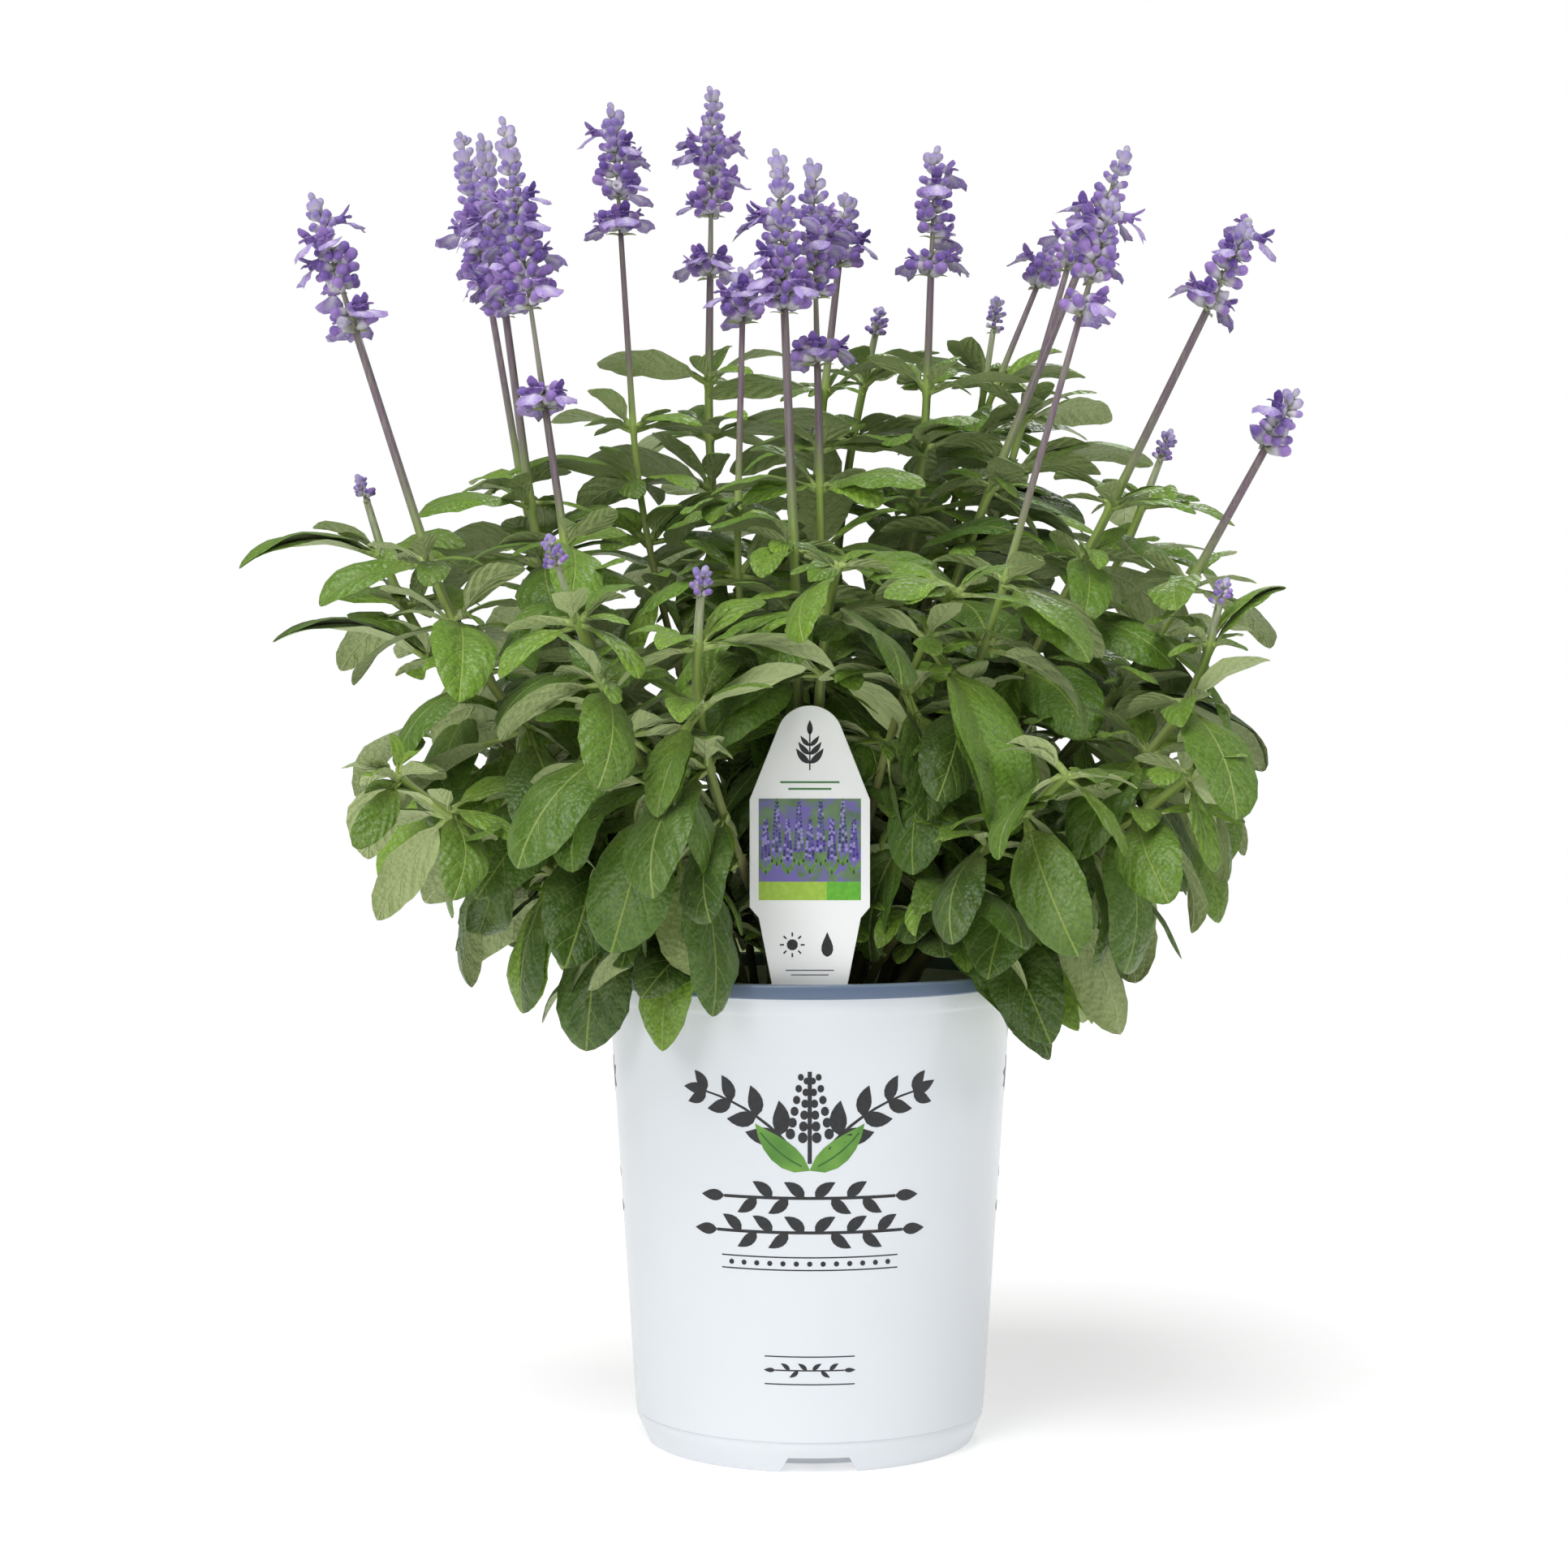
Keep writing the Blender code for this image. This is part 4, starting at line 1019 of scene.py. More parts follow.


# Leaf tissue: waxy above and quilted between its pale sunken veins, felted and paler below, where
# the pale colour is partly its own and partly painted light shining through the blade. The
# blade values give how far along and across the blade a point is, and on which face. Veins are
# drawn 0.5 mm wide or more, since finer ones would not show.
leaf_finish, tree, shader, where = start_material("sage leaf")
blade = add_node(tree, "Attribute", output="Vector", attribute_name="blade")
tone = add_node(tree, "Attribute", output="Fac", attribute_name="tone")
youth = add_node(tree, "Attribute", output="Fac", attribute_name="youth")
along, across, under = add_node(tree, "SeparateXYZ", {"Vector": blade}).node.outputs
off_rib = add_node(tree, "Math", (across,), operation="ABSOLUTE")
right = add_node(tree, "Math", (across, 0.0), operation="GREATER_THAN")
stagger = add_node(tree, "Math", (right, 0.45), operation="MULTIPLY")
slope = add_node(tree, "Math", (off_rib, VEIN_CURVE, VEIN_LIFT), operation="MULTIPLY_ADD")
rise = add_node(tree, "Math", (off_rib, slope), operation="MULTIPLY")
lowered = add_node(tree, "Math", (along, rise), operation="SUBTRACT")
phase = add_node(tree, "Math", (lowered, VEIN_PAIRS, stagger), operation="MULTIPLY_ADD")
part = add_node(tree, "Math", (phase,), operation="FRACT")
centred = add_node(tree, "Math", (part, 0.5), operation="SUBTRACT")
nearest = add_node(tree, "Math", (centred,), operation="ABSOLUTE")
fade = add_node(tree, "MapRange", (off_rib, 0, 0.9, 0.36, 0.08))
side_vein = add_node(tree, "MapRange", (nearest, 0.012, 0.045, fade, 0.0))
rib = add_node(tree, "MapRange", (off_rib, 0.012, 0.045, 0.46, 0.0))
on_blade = add_node(tree, "Math", (along, 0.0), operation="GREATER_THAN")
side_vein = add_node(tree, "Math", (side_vein, on_blade), operation="MULTIPLY")
vein = add_node(tree, "Math", (rib, side_vein), operation="MAXIMUM")

cells = add_node(tree, "TexVoronoi", {"Vector": where, "Scale": 1 / (2.0 * MM)}, feature="F1")
mottle = add_node(tree, "TexNoise", {"Vector": where, "Scale": 1 / (13 * MM), "Detail": 4.0})
grain = add_node(tree, "TexNoise", {"Vector": where, "Scale": 1 / (1.3 * MM), "Detail": 2.0})
# Grey-green patches: partly the mealy bloom of the hairs, partly a painted sheen of crinkle
# highlights.
mealy_bloom_and_sheen = add_node(tree, "MapRange", (mottle, 0.42, 0.72, 0, 0.28))
dark_cells = add_node(tree, "MapRange", (grain, 0.35, 0.6, 0.3, 0.0))
basal = add_node(tree, "MapRange", (along, 0, 0.35, 0.4, 0.0))
petiole = add_node(tree, "MapRange", (along, -0.1, 0.0, 0.8, 0.0))
# The underside colours: partly the pale felt's own colour, partly painted light shining through the
# blade.
pale = add_node(tree, "Mix", {0: vein, 6: "#b2c185", 7: "#d8e0aa"}, 2, data_type="RGBA")
shade = "#21390b"
for share, coat in (
    (tone, "#69922a"),
    (youth, "#86ac36"),
    (basal, "#86993f"),
    (mealy_bloom_and_sheen, "#8aa264"),
    (dark_cells, "#1d2d10"),
    (vein, "#a9bd5e"),
    (under, pale),
    (petiole, "#97ad5a"),
):
    shade = add_node(tree, "Mix", {0: share, 6: shade, 7: coat}, 2, data_type="RGBA")

quilting = add_node(tree, "Math", (nearest, on_blade), operation="MULTIPLY")
pitted = add_node(tree, "Math", (cells, -0.7, quilting), operation="MULTIPLY_ADD")
relief = add_node(tree, "Math", (pitted, vein), operation="SUBTRACT")
facing = add_node(tree, "Math", (under, -2.0, 1.0), operation="MULTIPLY_ADD")
relief = add_node(tree, "Math", (relief, facing), operation="MULTIPLY")
bump = add_node(tree, "Bump", {"Height": relief, "Distance": 0.8 * MM, "Strength": 0.85})
gloss = add_node(tree, "Math", (under, 0.22, 0.41), operation="MULTIPLY_ADD")
connect(shader, {"Base Color": shade, "Normal": bump, "Roughness": gloss, "IOR": 1.45})
connect(shader, {"Sheen Weight": 0.12, "Sheen Roughness": 0.4, "Sheen Tint": "#eef0e2"})


# The stems: square, slightly grooved, green where the leaves are and grey-purple up the bare
# flower stalks, each with its leaf pairs. The solids' leaves keep their places, and further pairs
# and the small shoots in the leaf axils fill the bush out.

STEM_FOOT = 2.4 * MM
STEM_JOINT = 1.8 * MM
STEM_HEAD = 1.5 * MM
STEM_DEPTH = 24 * MM
STEM_COLLAR = 6 * MM
STEM_SAMPLES = 40
CROWN_SPREAD = 0.27
COLLAR_PULL = 0.3
JOINT_PULL = 0.35
LEAFY_LEAN = 1.2
GOLDEN_ANGLE = math.radians(137.5)

# Flowering stems, in millimetres: the joint of the last leaf pair, the tip of the flower head,
# the head's dense length, its whole length down to a lone lower whorl, and how far it is in bloom.
FLOWERING = (
    ((-145, -40, 343), (-191, -30, 484), 38, 55, 0.6),
    ((-118, 50, 378), (-145, 70, 526), 66, 66, 0.8),
    ((-111, 10, 369), (-131, 20, 516), 72, 72, 1.0),
    ((-93, -45, 350), (-117, -35, 512), 72, 112, 1.0),
    ((-73, 60, 404), (-82, 70, 538), 38, 54, 0.9),
    ((-43, 100, 427), (-42, 120, 555), 56, 84, 0.9),
    ((-28, -15, 364), (-26, 0, 460), 20, 20, 0.8),
    ((-6, -60, 348), (-12, -50, 497), 60, 60, 0.8),
    ((4, -35, 372), (1, -25, 498), 52, 79, 0.9),
    ((6, 35, 416), (15, 40, 496), 28, 28, 0.9),
    ((23, 80, 424), (30, 80, 455), 11, 11, 0.0),
    ((47, 25, 416), (50, 20, 511), 34, 50, 0.4),
    ((75, 110, 426), (81, 115, 464), 14, 14, 0.1),
    ((78, 85, 422), (105, 100, 487), 22, 22, 0.1),
    ((72, 10, 375), (127, 20, 511), 42, 42, 0.15),
    ((72, -75, 334), (113, -65, 477), 32, 46, 0.2),
    ((89, 65, 408), (116, 80, 500), 30, 30, 0.1),
    ((118, -10, 367), (172, -5, 477), 25, 38, 0.3),
    ((146, -30, 335), (187, -30, 409), 24, 24, 0.1),
    ((137, 50, 372), (148, 50, 401), 12, 12, 0.0),
    ((-172, 25, 350), (-182, 30, 381), 10, 10, 0.0),
    ((-83, -118, 318), (-93, -125, 348), 11, 11, 0.0),
    ((149, -65, 311), (154, -70, 335), 9, 9, 0.0),
    ((-40, -118, 310), (-38, -122, 337), 9, 9, 0.0),
)
LEAFY_ONLY = (
    (-152, -80, 262),
    (-150, 78, 270),
    (-45, 150, 282),
    (48, 146, 275),
    (160, 22, 262),
    (140, -80, 262),
    (92, -112, 264),
    (10, -100, 338),
    (52, -104, 330),
)

# Leaves whose tips are given, in millimetres: the stem's number, the pair counted from the
# stem's end, the leaf form, and where the tip is.
REACHING = (
    (21, 0, 2, (-225, 0, 342)),
    (21, 2, 2, (-212, 0, 313)),
    (23, 0, 1, (178, -60, 332)),
    (19, 2, 3, (178, 0, 262)),
    (24, 1, 4, (-54, -124, 248)),
    (25, 4, 4, (-84, -60, 158)),
    (25, 3, 4, (-108, -58, 172)),
    (33, 2, 4, (43, -90, 246)),
    (33, 1, 4, (68, -112, 240)),
    (8, 4, 4, (-44, -76, 196)),
    (16, 4, 4, (46, -78, 192)),
    (4, 5, 4, (-70, -72, 190)),
)
LEAF_ROLL = math.radians(32)
LEAF_TURN = math.radians(60)
LEAF_PAIRS = 7
MAIN_FORMS = 6
PAIR_SPACING = 24 * MM
PAIR_HALF_HEIGHT = 1.6 * MM
BUSH_CENTRE = Vector((-12, 0, 262)) * MM
DROOP_HEIGHT = 205 * MM
RISE_HEIGHT = 425 * MM
DROOP_PITCH = math.radians(-58)
RISE_PITCH = math.radians(36)
GUESSES = 20
FIRST_STRAY = 0.35
STRAY_STEP = 0.12
PITCH_SHARE = 0.6
OUTWARD_PULL = 0.4
SHRINK_STEP = 0.015
SMALLEST_SCALE = 0.92
LARGEST_SCALE = 1.12
SAME_TIP = 0.15 * MM
CLEARANCE = 2 * MM
CHECK_STEP = 4
CHECK_WIDTH = 0.45


def vector_mm(numbers):
    return Vector(numbers) * MM


def bezier(a, b, c, d, t):
    s = 1 - t
    return a * s**3 + b * 3 * s * s * t + c * 3 * s * t * t + d * t**3


def stem_curve(joint, heading):
    """Points up a stem, from its collar at the mix to the joint of its last leaf pair."""
    up = Vector((0, 0, 1))
    reach = Vector((joint.x - BUSH_CENTRE.x, joint.y, 0))
    lean = (reach + up * (joint.z - SOIL_EDGE_HEIGHT)).normalized() + up
    crown = Vector((BUSH_CENTRE.x / 2, 0, SOIL_EDGE_HEIGHT + SOIL_MOUND + STEM_COLLAR))
    collar = crown + reach * CROWN_SPREAD
    span = (joint - collar).length
    first = collar + lean.normalized() * span * COLLAR_PULL
    last = joint - heading * span * JOINT_PULL
    return [bezier(collar, first, last, joint, i / STEM_SAMPLES) for i in range(STEM_SAMPLES + 1)]


def down_curve(curve, distance):
    """The point and the upward direction at a distance down a curve from its end."""
    for high, low in zip(reversed(curve), reversed(curve[:-1])):
        step = (high - low).length
        if distance <= step:
            return high.lerp(low, distance / step), (high - low).normalized()
        distance -= step
    return curve[0], (curve[1] - curve[0]).normalized()


def leaf_guess(key, level, guess, root, face):
    """One way for a leaf to grow: (form, scale, azimuth, pitch, roll). Later guesses stray more."""
    rng = random.Random(f"{key} {guess}")
    stray = FIRST_STRAY + guess * STRAY_STEP
    outward = math.atan2(root.y, root.x - BUSH_CENTRE.x)
    azimuth = math.atan2(face.y, face.x)
    turn = OUTWARD_PULL * math.remainder(outward - azimuth, math.tau) + rng.uniform(-stray, stray)
    azimuth += max(-LEAF_TURN, min(LEAF_TURN, turn))
    height = max(0, min(1, (root.z - DROOP_HEIGHT) / (RISE_HEIGHT - DROOP_HEIGHT)))
    pitch = DROOP_PITCH + (RISE_PITCH - DROOP_PITCH) * height
    pitch = pitch + rng.uniform(-stray, stray) * PITCH_SHARE
    scale = rng.uniform(SMALLEST_SCALE, LARGEST_SCALE) * (1 - SHRINK_STEP * guess)
    roll = rng.uniform(-LEAF_ROLL, LEAF_ROLL)
    form = min(level + rng.randrange(2), MAIN_FORMS - 1)
    return form, scale, azimuth, pitch, roll


def aimed_leaf(form, root, tip):
    """The way for a leaf to grow that puts its tip at a given point: as leaf_guess."""
    chord, aim = arch(LEAF_FORMS[form])[-1][0], tip - root
    pitch = math.atan2(aim.z, math.hypot(aim.x, aim.y)) - math.atan2(chord.z, chord.x)
    return form, aim.length / chord.length, math.atan2(aim.y, aim.x), pitch, 0.0


def leaf_frame(root, way):
    _, scale, azimuth, pitch, roll = way
    turn = Euler((roll, -pitch, azimuth), "XYZ").to_matrix().to_4x4()
    return Matrix.Translation(root) @ turn @ Matrix.Scale(scale, 4)


class Stem:
    """A square stem with crossed pairs of leaves, each from a side of the stem."""

    def __init__(self, number, joint, heading, end=None):
        self.number = number
        self.joint = joint
        self.heading = heading
        self.end = end
        self.across = Vector((-joint.y, joint.x - BUSH_CENTRE.x, 0)).normalized()
        self.curve = stem_curve(joint, heading)
        self.length = sum((b - a).length for a, b in zip(self.curve, self.curve[1:]))
        room = self.length - 2 * PAIR_HALF_HEIGHT
        self.pairs = min(LEAF_PAIRS, int(room / PAIR_SPACING) + 1)
        self.name = f"leafy_stem_{number:02d}"

    def frame(self, down):
        """The stem's square at a distance down from the joint, with +Z up the stem."""
        point, up = down_curve(self.curve, min(down, self.length))
        side = (self.across - up * self.across.dot(up)).normalized()
        axes = Matrix((side, up.cross(side), up)).transposed().to_4x4()
        return Matrix.Translation(point - up * max(down - self.length, 0)) @ axes

    def half_width(self, down):
        return STEM_JOINT + (STEM_FOOT - STEM_JOINT) * min(down / self.length, 1)

    def face(self, level, side):
        """The middle of a leaf's face on the stem, and the way that face looks."""
        column = (self.number + level) % 2 + 2 * side
        middle = PAIR_HALF_HEIGHT + level * PAIR_SPACING
        corners = []
        for down in (middle + PAIR_HALF_HEIGHT, middle - PAIR_HALF_HEIGHT):
            half, square = self.half_width(down), self.frame(down)
            for corner in (column, column + 1):
                turn = corner * math.pi / 2
                corners.append(square @ Vector((half * math.cos(turn), half * math.sin(turn), 0)))
        centre = sum(corners, Vector()) / 4
        return centre, (centre - down_curve(self.curve, middle)[0]).normalized()


def stem_plans():
    """Each stem's joint, heading there and, on a flowering one, the end of its flower stalk."""
    plans = []
    for joint, tip, _, whole, _ in FLOWERING:
        joint, tip = vector_mm(joint), vector_mm(tip)
        heading = (tip - joint).normalized()
        plans.append((joint, heading, tip - heading * (whole * MM + FIT_GAP)))
    for joint in map(vector_mm, LEAFY_ONLY):
        outward = Vector((joint.x - BUSH_CENTRE.x, joint.y, 0)).normalized()
        plans.append((joint, (outward * LEAFY_LEAN + Vector((0, 0, 1))).normalized()))
    return plans


def solid_leaf(stem, level, side, tips):
    """The way the solid's leaf grows here, found by its tip, or None where it has no leaf."""
    root, face = stem.face(level, side)
    ways = [
        aimed_leaf(form, root, vector_mm(tip))
        for number, at, form, tip in REACHING
        if (number, at) == (stem.number, level)
    ]
    key = f"{stem.number} {level} {side}"
    ways += [leaf_guess(key, level, i, root, face) for i in range(GUESSES)]
    for way in ways:
        tip = leaf_frame(root, way) @ arch(LEAF_FORMS[way[0]])[-1][0]
        if tips.find(tip)[2] < SAME_TIP:
            return way
    return None


def is_free(root, way):
    """Whether an added leaf is inside the solids' box and clear of the pot and the label."""
    place = leaf_frame(root, way)
    form = LEAF_FORMS[way[0]]
    places = arch(form)
    for i in range(CHECK_STEP, ARCH_STEPS + 1, CHECK_STEP):
        centre = place @ places[i][0]
        for side in (-1, 0, 1):
            point = centre + place.to_3x3() @ Vector((0, side * form[2] * MM * CHECK_WIDTH, 0))
            if any(not low < value < high for value, low, high in zip(point, *cad_box)):
                return False
            beside = abs(point.x) > LABEL_HALF_WIDTH + CLEARANCE
            over = point.z > LABEL_TOP + CLEARANCE
            if not (beside or over) and point.y < -LABEL_DISTANCE + 1.5 * CLEARANCE:
                return False
            in_pot = math.hypot(point.x, point.y) < POT_RIM_RADIUS + CLEARANCE
            if in_pot and point.z < POT_HEIGHT + 1.5 * CLEARANCE:
                return False
    return True


# The green of a stem turns to grey-purple up the flower stalk. Growth gives how far up the stalk
# a point is, how young the green is, and how purple this stalk turns.
stem_finish, tree, shader, where = start_material("square sage stem")
growth = add_node(tree, "Attribute", output="Vector", attribute_name="growth")
up_stalk, young, purple = add_node(tree, "SeparateXYZ", {"Vector": growth}).node.outputs
fibre = (1 / (1.2 * MM), 1 / (1.2 * MM), 1 / (14 * MM))
drawn_out = add_node(tree, "Mapping", {"Vector": where, "Scale": fibre})
streak = add_node(tree, "TexNoise", {"Vector": drawn_out, "Scale": 1.0, "Detail": 3.0})
streaks = add_node(tree, "MapRange", (streak, 0.45, 0.62, 0, 0.55))
green = add_node(tree, "Mix", {0: young, 6: "#6a6a3c", 7: "#8ba447"}, 2, data_type="RGBA")
stalk = "#a3ad86"
for share, code in ((purple, "#6f5c69"), (streaks, "#80806a")):
    stalk = add_node(tree, "Mix", {0: share, 6: stalk, 7: code}, 2, data_type="RGBA")
skin = add_node(tree, "Mix", {0: up_stalk, 6: green, 7: stalk}, 2, data_type="RGBA")
bump = add_node(tree, "Bump", {"Height": streak, "Distance": 0.15 * MM, "Strength": 0.6})
connect(shader, {"Base Color": skin, "Normal": bump, "Roughness": 0.5})
connect(shader, {"Sheen Weight": 0.25, "Sheen Roughness": 0.5, "Sheen Tint": "#f1eff4"})

TUBE_STEP = 8 * MM
NODE_SWELL = 1.3
NODE_REACH = 3 * MM
GROOVE = 0.86
STALK_RINGS = 6
SMALL_HEAD = 16
YOUNG_LENGTH = 110 * MM
YELLOWING = 0.16
MORE_GUESSES = 12
AXIL_LIFT = 1.5
AXIL_TURNS = (-0.9, 0.9, 0.1)
AXIL_TRIES = 3
# Leaves low in the bush are darkened: partly as older leaves, partly as painted shade.
LOW_AGE_AND_SHADE_TONE = 0.3
AGED_SHADED_HEIGHT = 210 * MM
AGE_AND_SHADE_HEIGHT = 150 * MM


def tube_depths(stem):
    """How far down from the joint each ring of the stem is, from its foot up to its last one."""
    foot = stem.length + STEM_DEPTH + STEM_COLLAR - FIT_GAP
    depths = {foot, stem.length, 0.0}
    depths.update(i * TUBE_STEP for i in range(1, int(stem.length / TUBE_STEP)))
    for level in range(stem.pairs):
        middle = PAIR_HALF_HEIGHT + level * PAIR_SPACING
        depths.update((middle, middle + NODE_REACH, max(middle - NODE_REACH, 0.0)))
    return sorted(depths, reverse=True)


def swell(stem, down):
    """Stems are a little thicker where a leaf pair joins."""
    middles = [PAIR_HALF_HEIGHT + level * PAIR_SPACING for level in range(stem.pairs)]
    near = min(abs(down - middle) for middle in middles)
    return 1 + (NODE_SWELL - 1) * max(0, 1 - near / NODE_REACH)


def grooved_square(place, half):
    """Eight points round a square stem: its corners, and the middles of its grooved sides."""
    points = []
    for i in range(8):
        reach = half if i % 2 == 0 else half * GROOVE * math.sqrt(0.5)
        turn = i * math.pi / 4
        points.append(place @ Vector((reach * math.cos(turn), reach * math.sin(turn), 0)))
    return points


def grown_tube(name, rings, growths):
    """A stem or stalk through rings of points, with each ring's growth."""
    mesh = loft(name, rings)
    mesh.shade_smooth()
    values = mesh.attributes.new("growth", "FLOAT_VECTOR", "POINT")
    values.data.foreach_set("vector", [v for value in growths for _ in range(8) for v in value])
    return mesh


def tube_mesh(stem):
    """The stem without its leaves, with each point's growth."""
    rings, growths = [], []
    purple = 0.0 if stem.end is None or FLOWERING[stem.number - 1][3] < SMALL_HEAD else 1.0
    for down in tube_depths(stem):
        rings.append(grooved_square(stem.frame(down), stem.half_width(down) * swell(stem, down)))
        growths.append((0, max(0, 1 - down / YOUNG_LENGTH), purple))
    if stem.end is not None:
        top = stem.frame(0)
        for i in range(1, STALK_RINGS + 1):
            share = i / STALK_RINGS
            place = Matrix.Translation((stem.end - stem.joint) * share) @ top
            rings.append(grooved_square(place, STEM_JOINT + (STEM_HEAD - STEM_JOINT) * share))
            growths.append((min(1, share * 2.5), 1, purple))
    return grown_tube(f"tube {stem.number}", rings, growths)


def leaf_positions(stem, tips, rng):
    """Every leaf of a stem as (root, way, youth)."""
    leaves = []
    for level in range(stem.pairs):
        for side in (0, 1):
            root, face = stem.face(level, side)
            way = solid_leaf(stem, level, side, tips)
            if way is None:
                key = f"{stem.number} {level} {side} more"
                guesses = [leaf_guess(key, level, i, root, face) for i in range(MORE_GUESSES)]
                way = next((guess for guess in guesses if is_free(root, guess)), None)
            youth = max(0.0, 0.7 - 0.3 * level) * rng.uniform(0.3, 1)
            if level > 2 and rng.random() < YELLOWING:
                youth = rng.uniform(0.5, 1)
            if way:
                leaves.append((root, way, youth))
            leaves += axil_leaves(stem, level, root, face, rng)
    return leaves


def axil_leaves(stem, level, root, face, rng):
    """The small leaves of a shoot that starts in the angle over a leaf."""
    leaves = []
    base = root + stem.heading * AXIL_LIFT * MM
    azimuth = math.atan2(face.y, face.x)
    for turn in AXIL_TURNS:
        for _ in range(AXIL_TRIES):
            form = rng.choice((6, 7, 7, 0) if level else (6, 6, 7))
            pitch = rng.uniform(0.0, 0.9) if level < 3 else rng.uniform(-0.7, 0.6)
            aim = azimuth + turn + rng.uniform(-0.5, 0.5)
            way = (form, rng.uniform(0.8, 1.25), aim, pitch, rng.uniform(-0.6, 0.6))
            if is_free(base, way):
                leaves.append((base, way, rng.uniform(0.15, 0.9)))
                break
    return leaves


def age_and_shade_tone(height):
    """Leaves low down are darker: partly the older leaves' own colour, partly painted shade deep in
    the bush. The tone is 1 in the upper bush.
    """
    share = max(0, height - AGED_SHADED_HEIGHT) / AGE_AND_SHADE_HEIGHT
    return min(1, LOW_AGE_AND_SHADE_TONE + (1 - LOW_AGE_AND_SHADE_TONE) * share)


def leaf_points(name, leaves, rng):
    """A point for each leaf."""
    ways = [way for _, way, _ in leaves]
    return points_mesh(
        name,
        [root for root, _, _ in leaves],
        shape=[way[0] * LEAF_VARIANTS + rng.randrange(LEAF_VARIANTS) for way in ways],
        turn=[angle for _, _, azimuth, pitch, roll in ways for angle in (roll, -pitch, azimuth)],
        size=[way[1] for way in ways],
        tone=[rng.uniform(0.2, 1) * age_and_shade_tone(root.z) for root, _, _ in leaves],
        youth=[youth for _, _, youth in leaves],
    )


rng = random.Random(11)
leaf_meshes = []
for form in LEAF_FORMS:
    for variant in range(LEAF_VARIANTS):
        leaf_meshes.append(leaf_mesh(f"leaf {len(leaf_meshes)}", LeafShape(form, rng)))
leaf_shapes = shape_collection("leaf shape", leaf_meshes)
leafing = growing_tree("leaves on a stem")

stems = [Stem(number, *plan) for number, plan in enumerate(stem_plans(), 1)]
for stem in stems:
    solid = frame["nodes"][stem.name]
    tips = KDTree(len(solid.data.vertices))
    for vertex in solid.data.vertices:
        tips.insert(vertex.co, vertex.index)
    tips.balance()
    rng = random.Random(stem.number)
    points = leaf_points(f"leaf points {stem.number}", leaf_positions(stem, tips, rng), rng)
    name = f"sage_stem_{stem.number:02d}"
    piece = grow(name, points, leafing, tube_mesh(stem), leaf_shapes, stem_finish, leaf_finish)
    show(piece, "leaf", stem.name)
clear_collection(leaf_shapes)


# The flower heads: whorl over whorl of small flowers round a stalk. Each flower is a mealy,
# lilac-grey calyx that closes over a violet bud, or opens round a two-lipped corolla. Buds get
# smaller, greyer and more upright towards the tip.

HEAD_RADIUS = 9.8 * MM
HEAD_TIP_RADIUS = 3.0 * MM
SMALL_HEAD_RADIUS = 5.2 * MM
HEAD_TAPER_POWER = 0.75
BUD_ROW = 5.7 * MM
SMALL_BUD_ROW = 3.4 * MM
WHORL_LENGTH = 12 * MM
FLOWER_EVERY = 24 * MM
FIRST_FLOWER_ROW = 1.5
MISSING_BUDS = 0.1
RACHIS_RADIUS = 1.3 * MM
LONE_WHORL = ((3.0 * MM, HEAD_RADIUS), (7.4 * MM, HEAD_RADIUS * 0.86))
BUD_SIDES = 8

# Flower shapes along +X in millimetres: rings of (x, radius, corolla share), where the corolla
# share is 0 on the calyx and 1 on the petals.
TIP_BUD = (
    (0, 0.4, 0), (0.8, 1.0, 0), (2.1, 1.5, 0.1), (3.5, 1.5, 0.6), (4.5, 0.9, 0.9),
    (4.8, 0.15, 0.9),
)
CLOSED_BUD = (
    (0, 0.5, 0), (1.0, 1.3, 0), (2.7, 1.85, 0), (4.3, 2.05, 0.06), (5.0, 2.0, 0.6),
    (6.2, 2.15, 1), (7.6, 1.95, 1), (8.5, 1.25, 1), (8.9, 0.2, 1),
)
HOODED_BUD = (
    (0, 0.5, 0), (1.2, 1.3, 0), (3.0, 1.8, 0), (4.8, 1.9, 0.05), (5.0, 1.55, 0.8),
    (6.6, 1.8, 1), (8.4, 2.3, 1), (9.9, 2.0, 1), (10.8, 1.0, 1), (11.0, 0.2, 1),
)
FLOWER_TUBE = (
    (0, 0.5, 0), (1.2, 1.3, 0), (3.0, 1.8, 0), (4.8, 1.95, 0.05), (4.9, 1.5, 0.8),
    (7.4, 1.7, 0.95), (9.2, 2.4, 1), (8.6, 1.6, 1), (7.6, 0.3, 1),
)
EMPTY_CALYX = (
    (0, 0.45, 0), (1.2, 1.2, 0), (2.9, 1.7, 0), (4.8, 2.0, 0.1), (4.6, 1.5, 0.0),
    (3.2, 0.3, 0.0),
)
FLOWER_LENGTHS = (4.8 * MM, 8.9 * MM, 11.0 * MM, 15.6 * MM, 4.8 * MM, 7.0 * MM)
TIP, CLOSED, HOODED, OPEN, EMPTY, BRACT = range(6)
FLOWER_VARIANTS = 3
FLOWER_ROOT = 0.6 * MM
SHORTEST_FLOWER = 1.5 * MM
FLOWER_REACH = 15.5 * MM
FLOWER_ROOM = 8 * MM
PETAL_THICKNESS = 0.32
PETAL_THINNING = 0.12
MARK_HALF_WIDTH = 2.4 * MM
BRACT_SHARE = -1.0
LIP_SHARE = 2.0


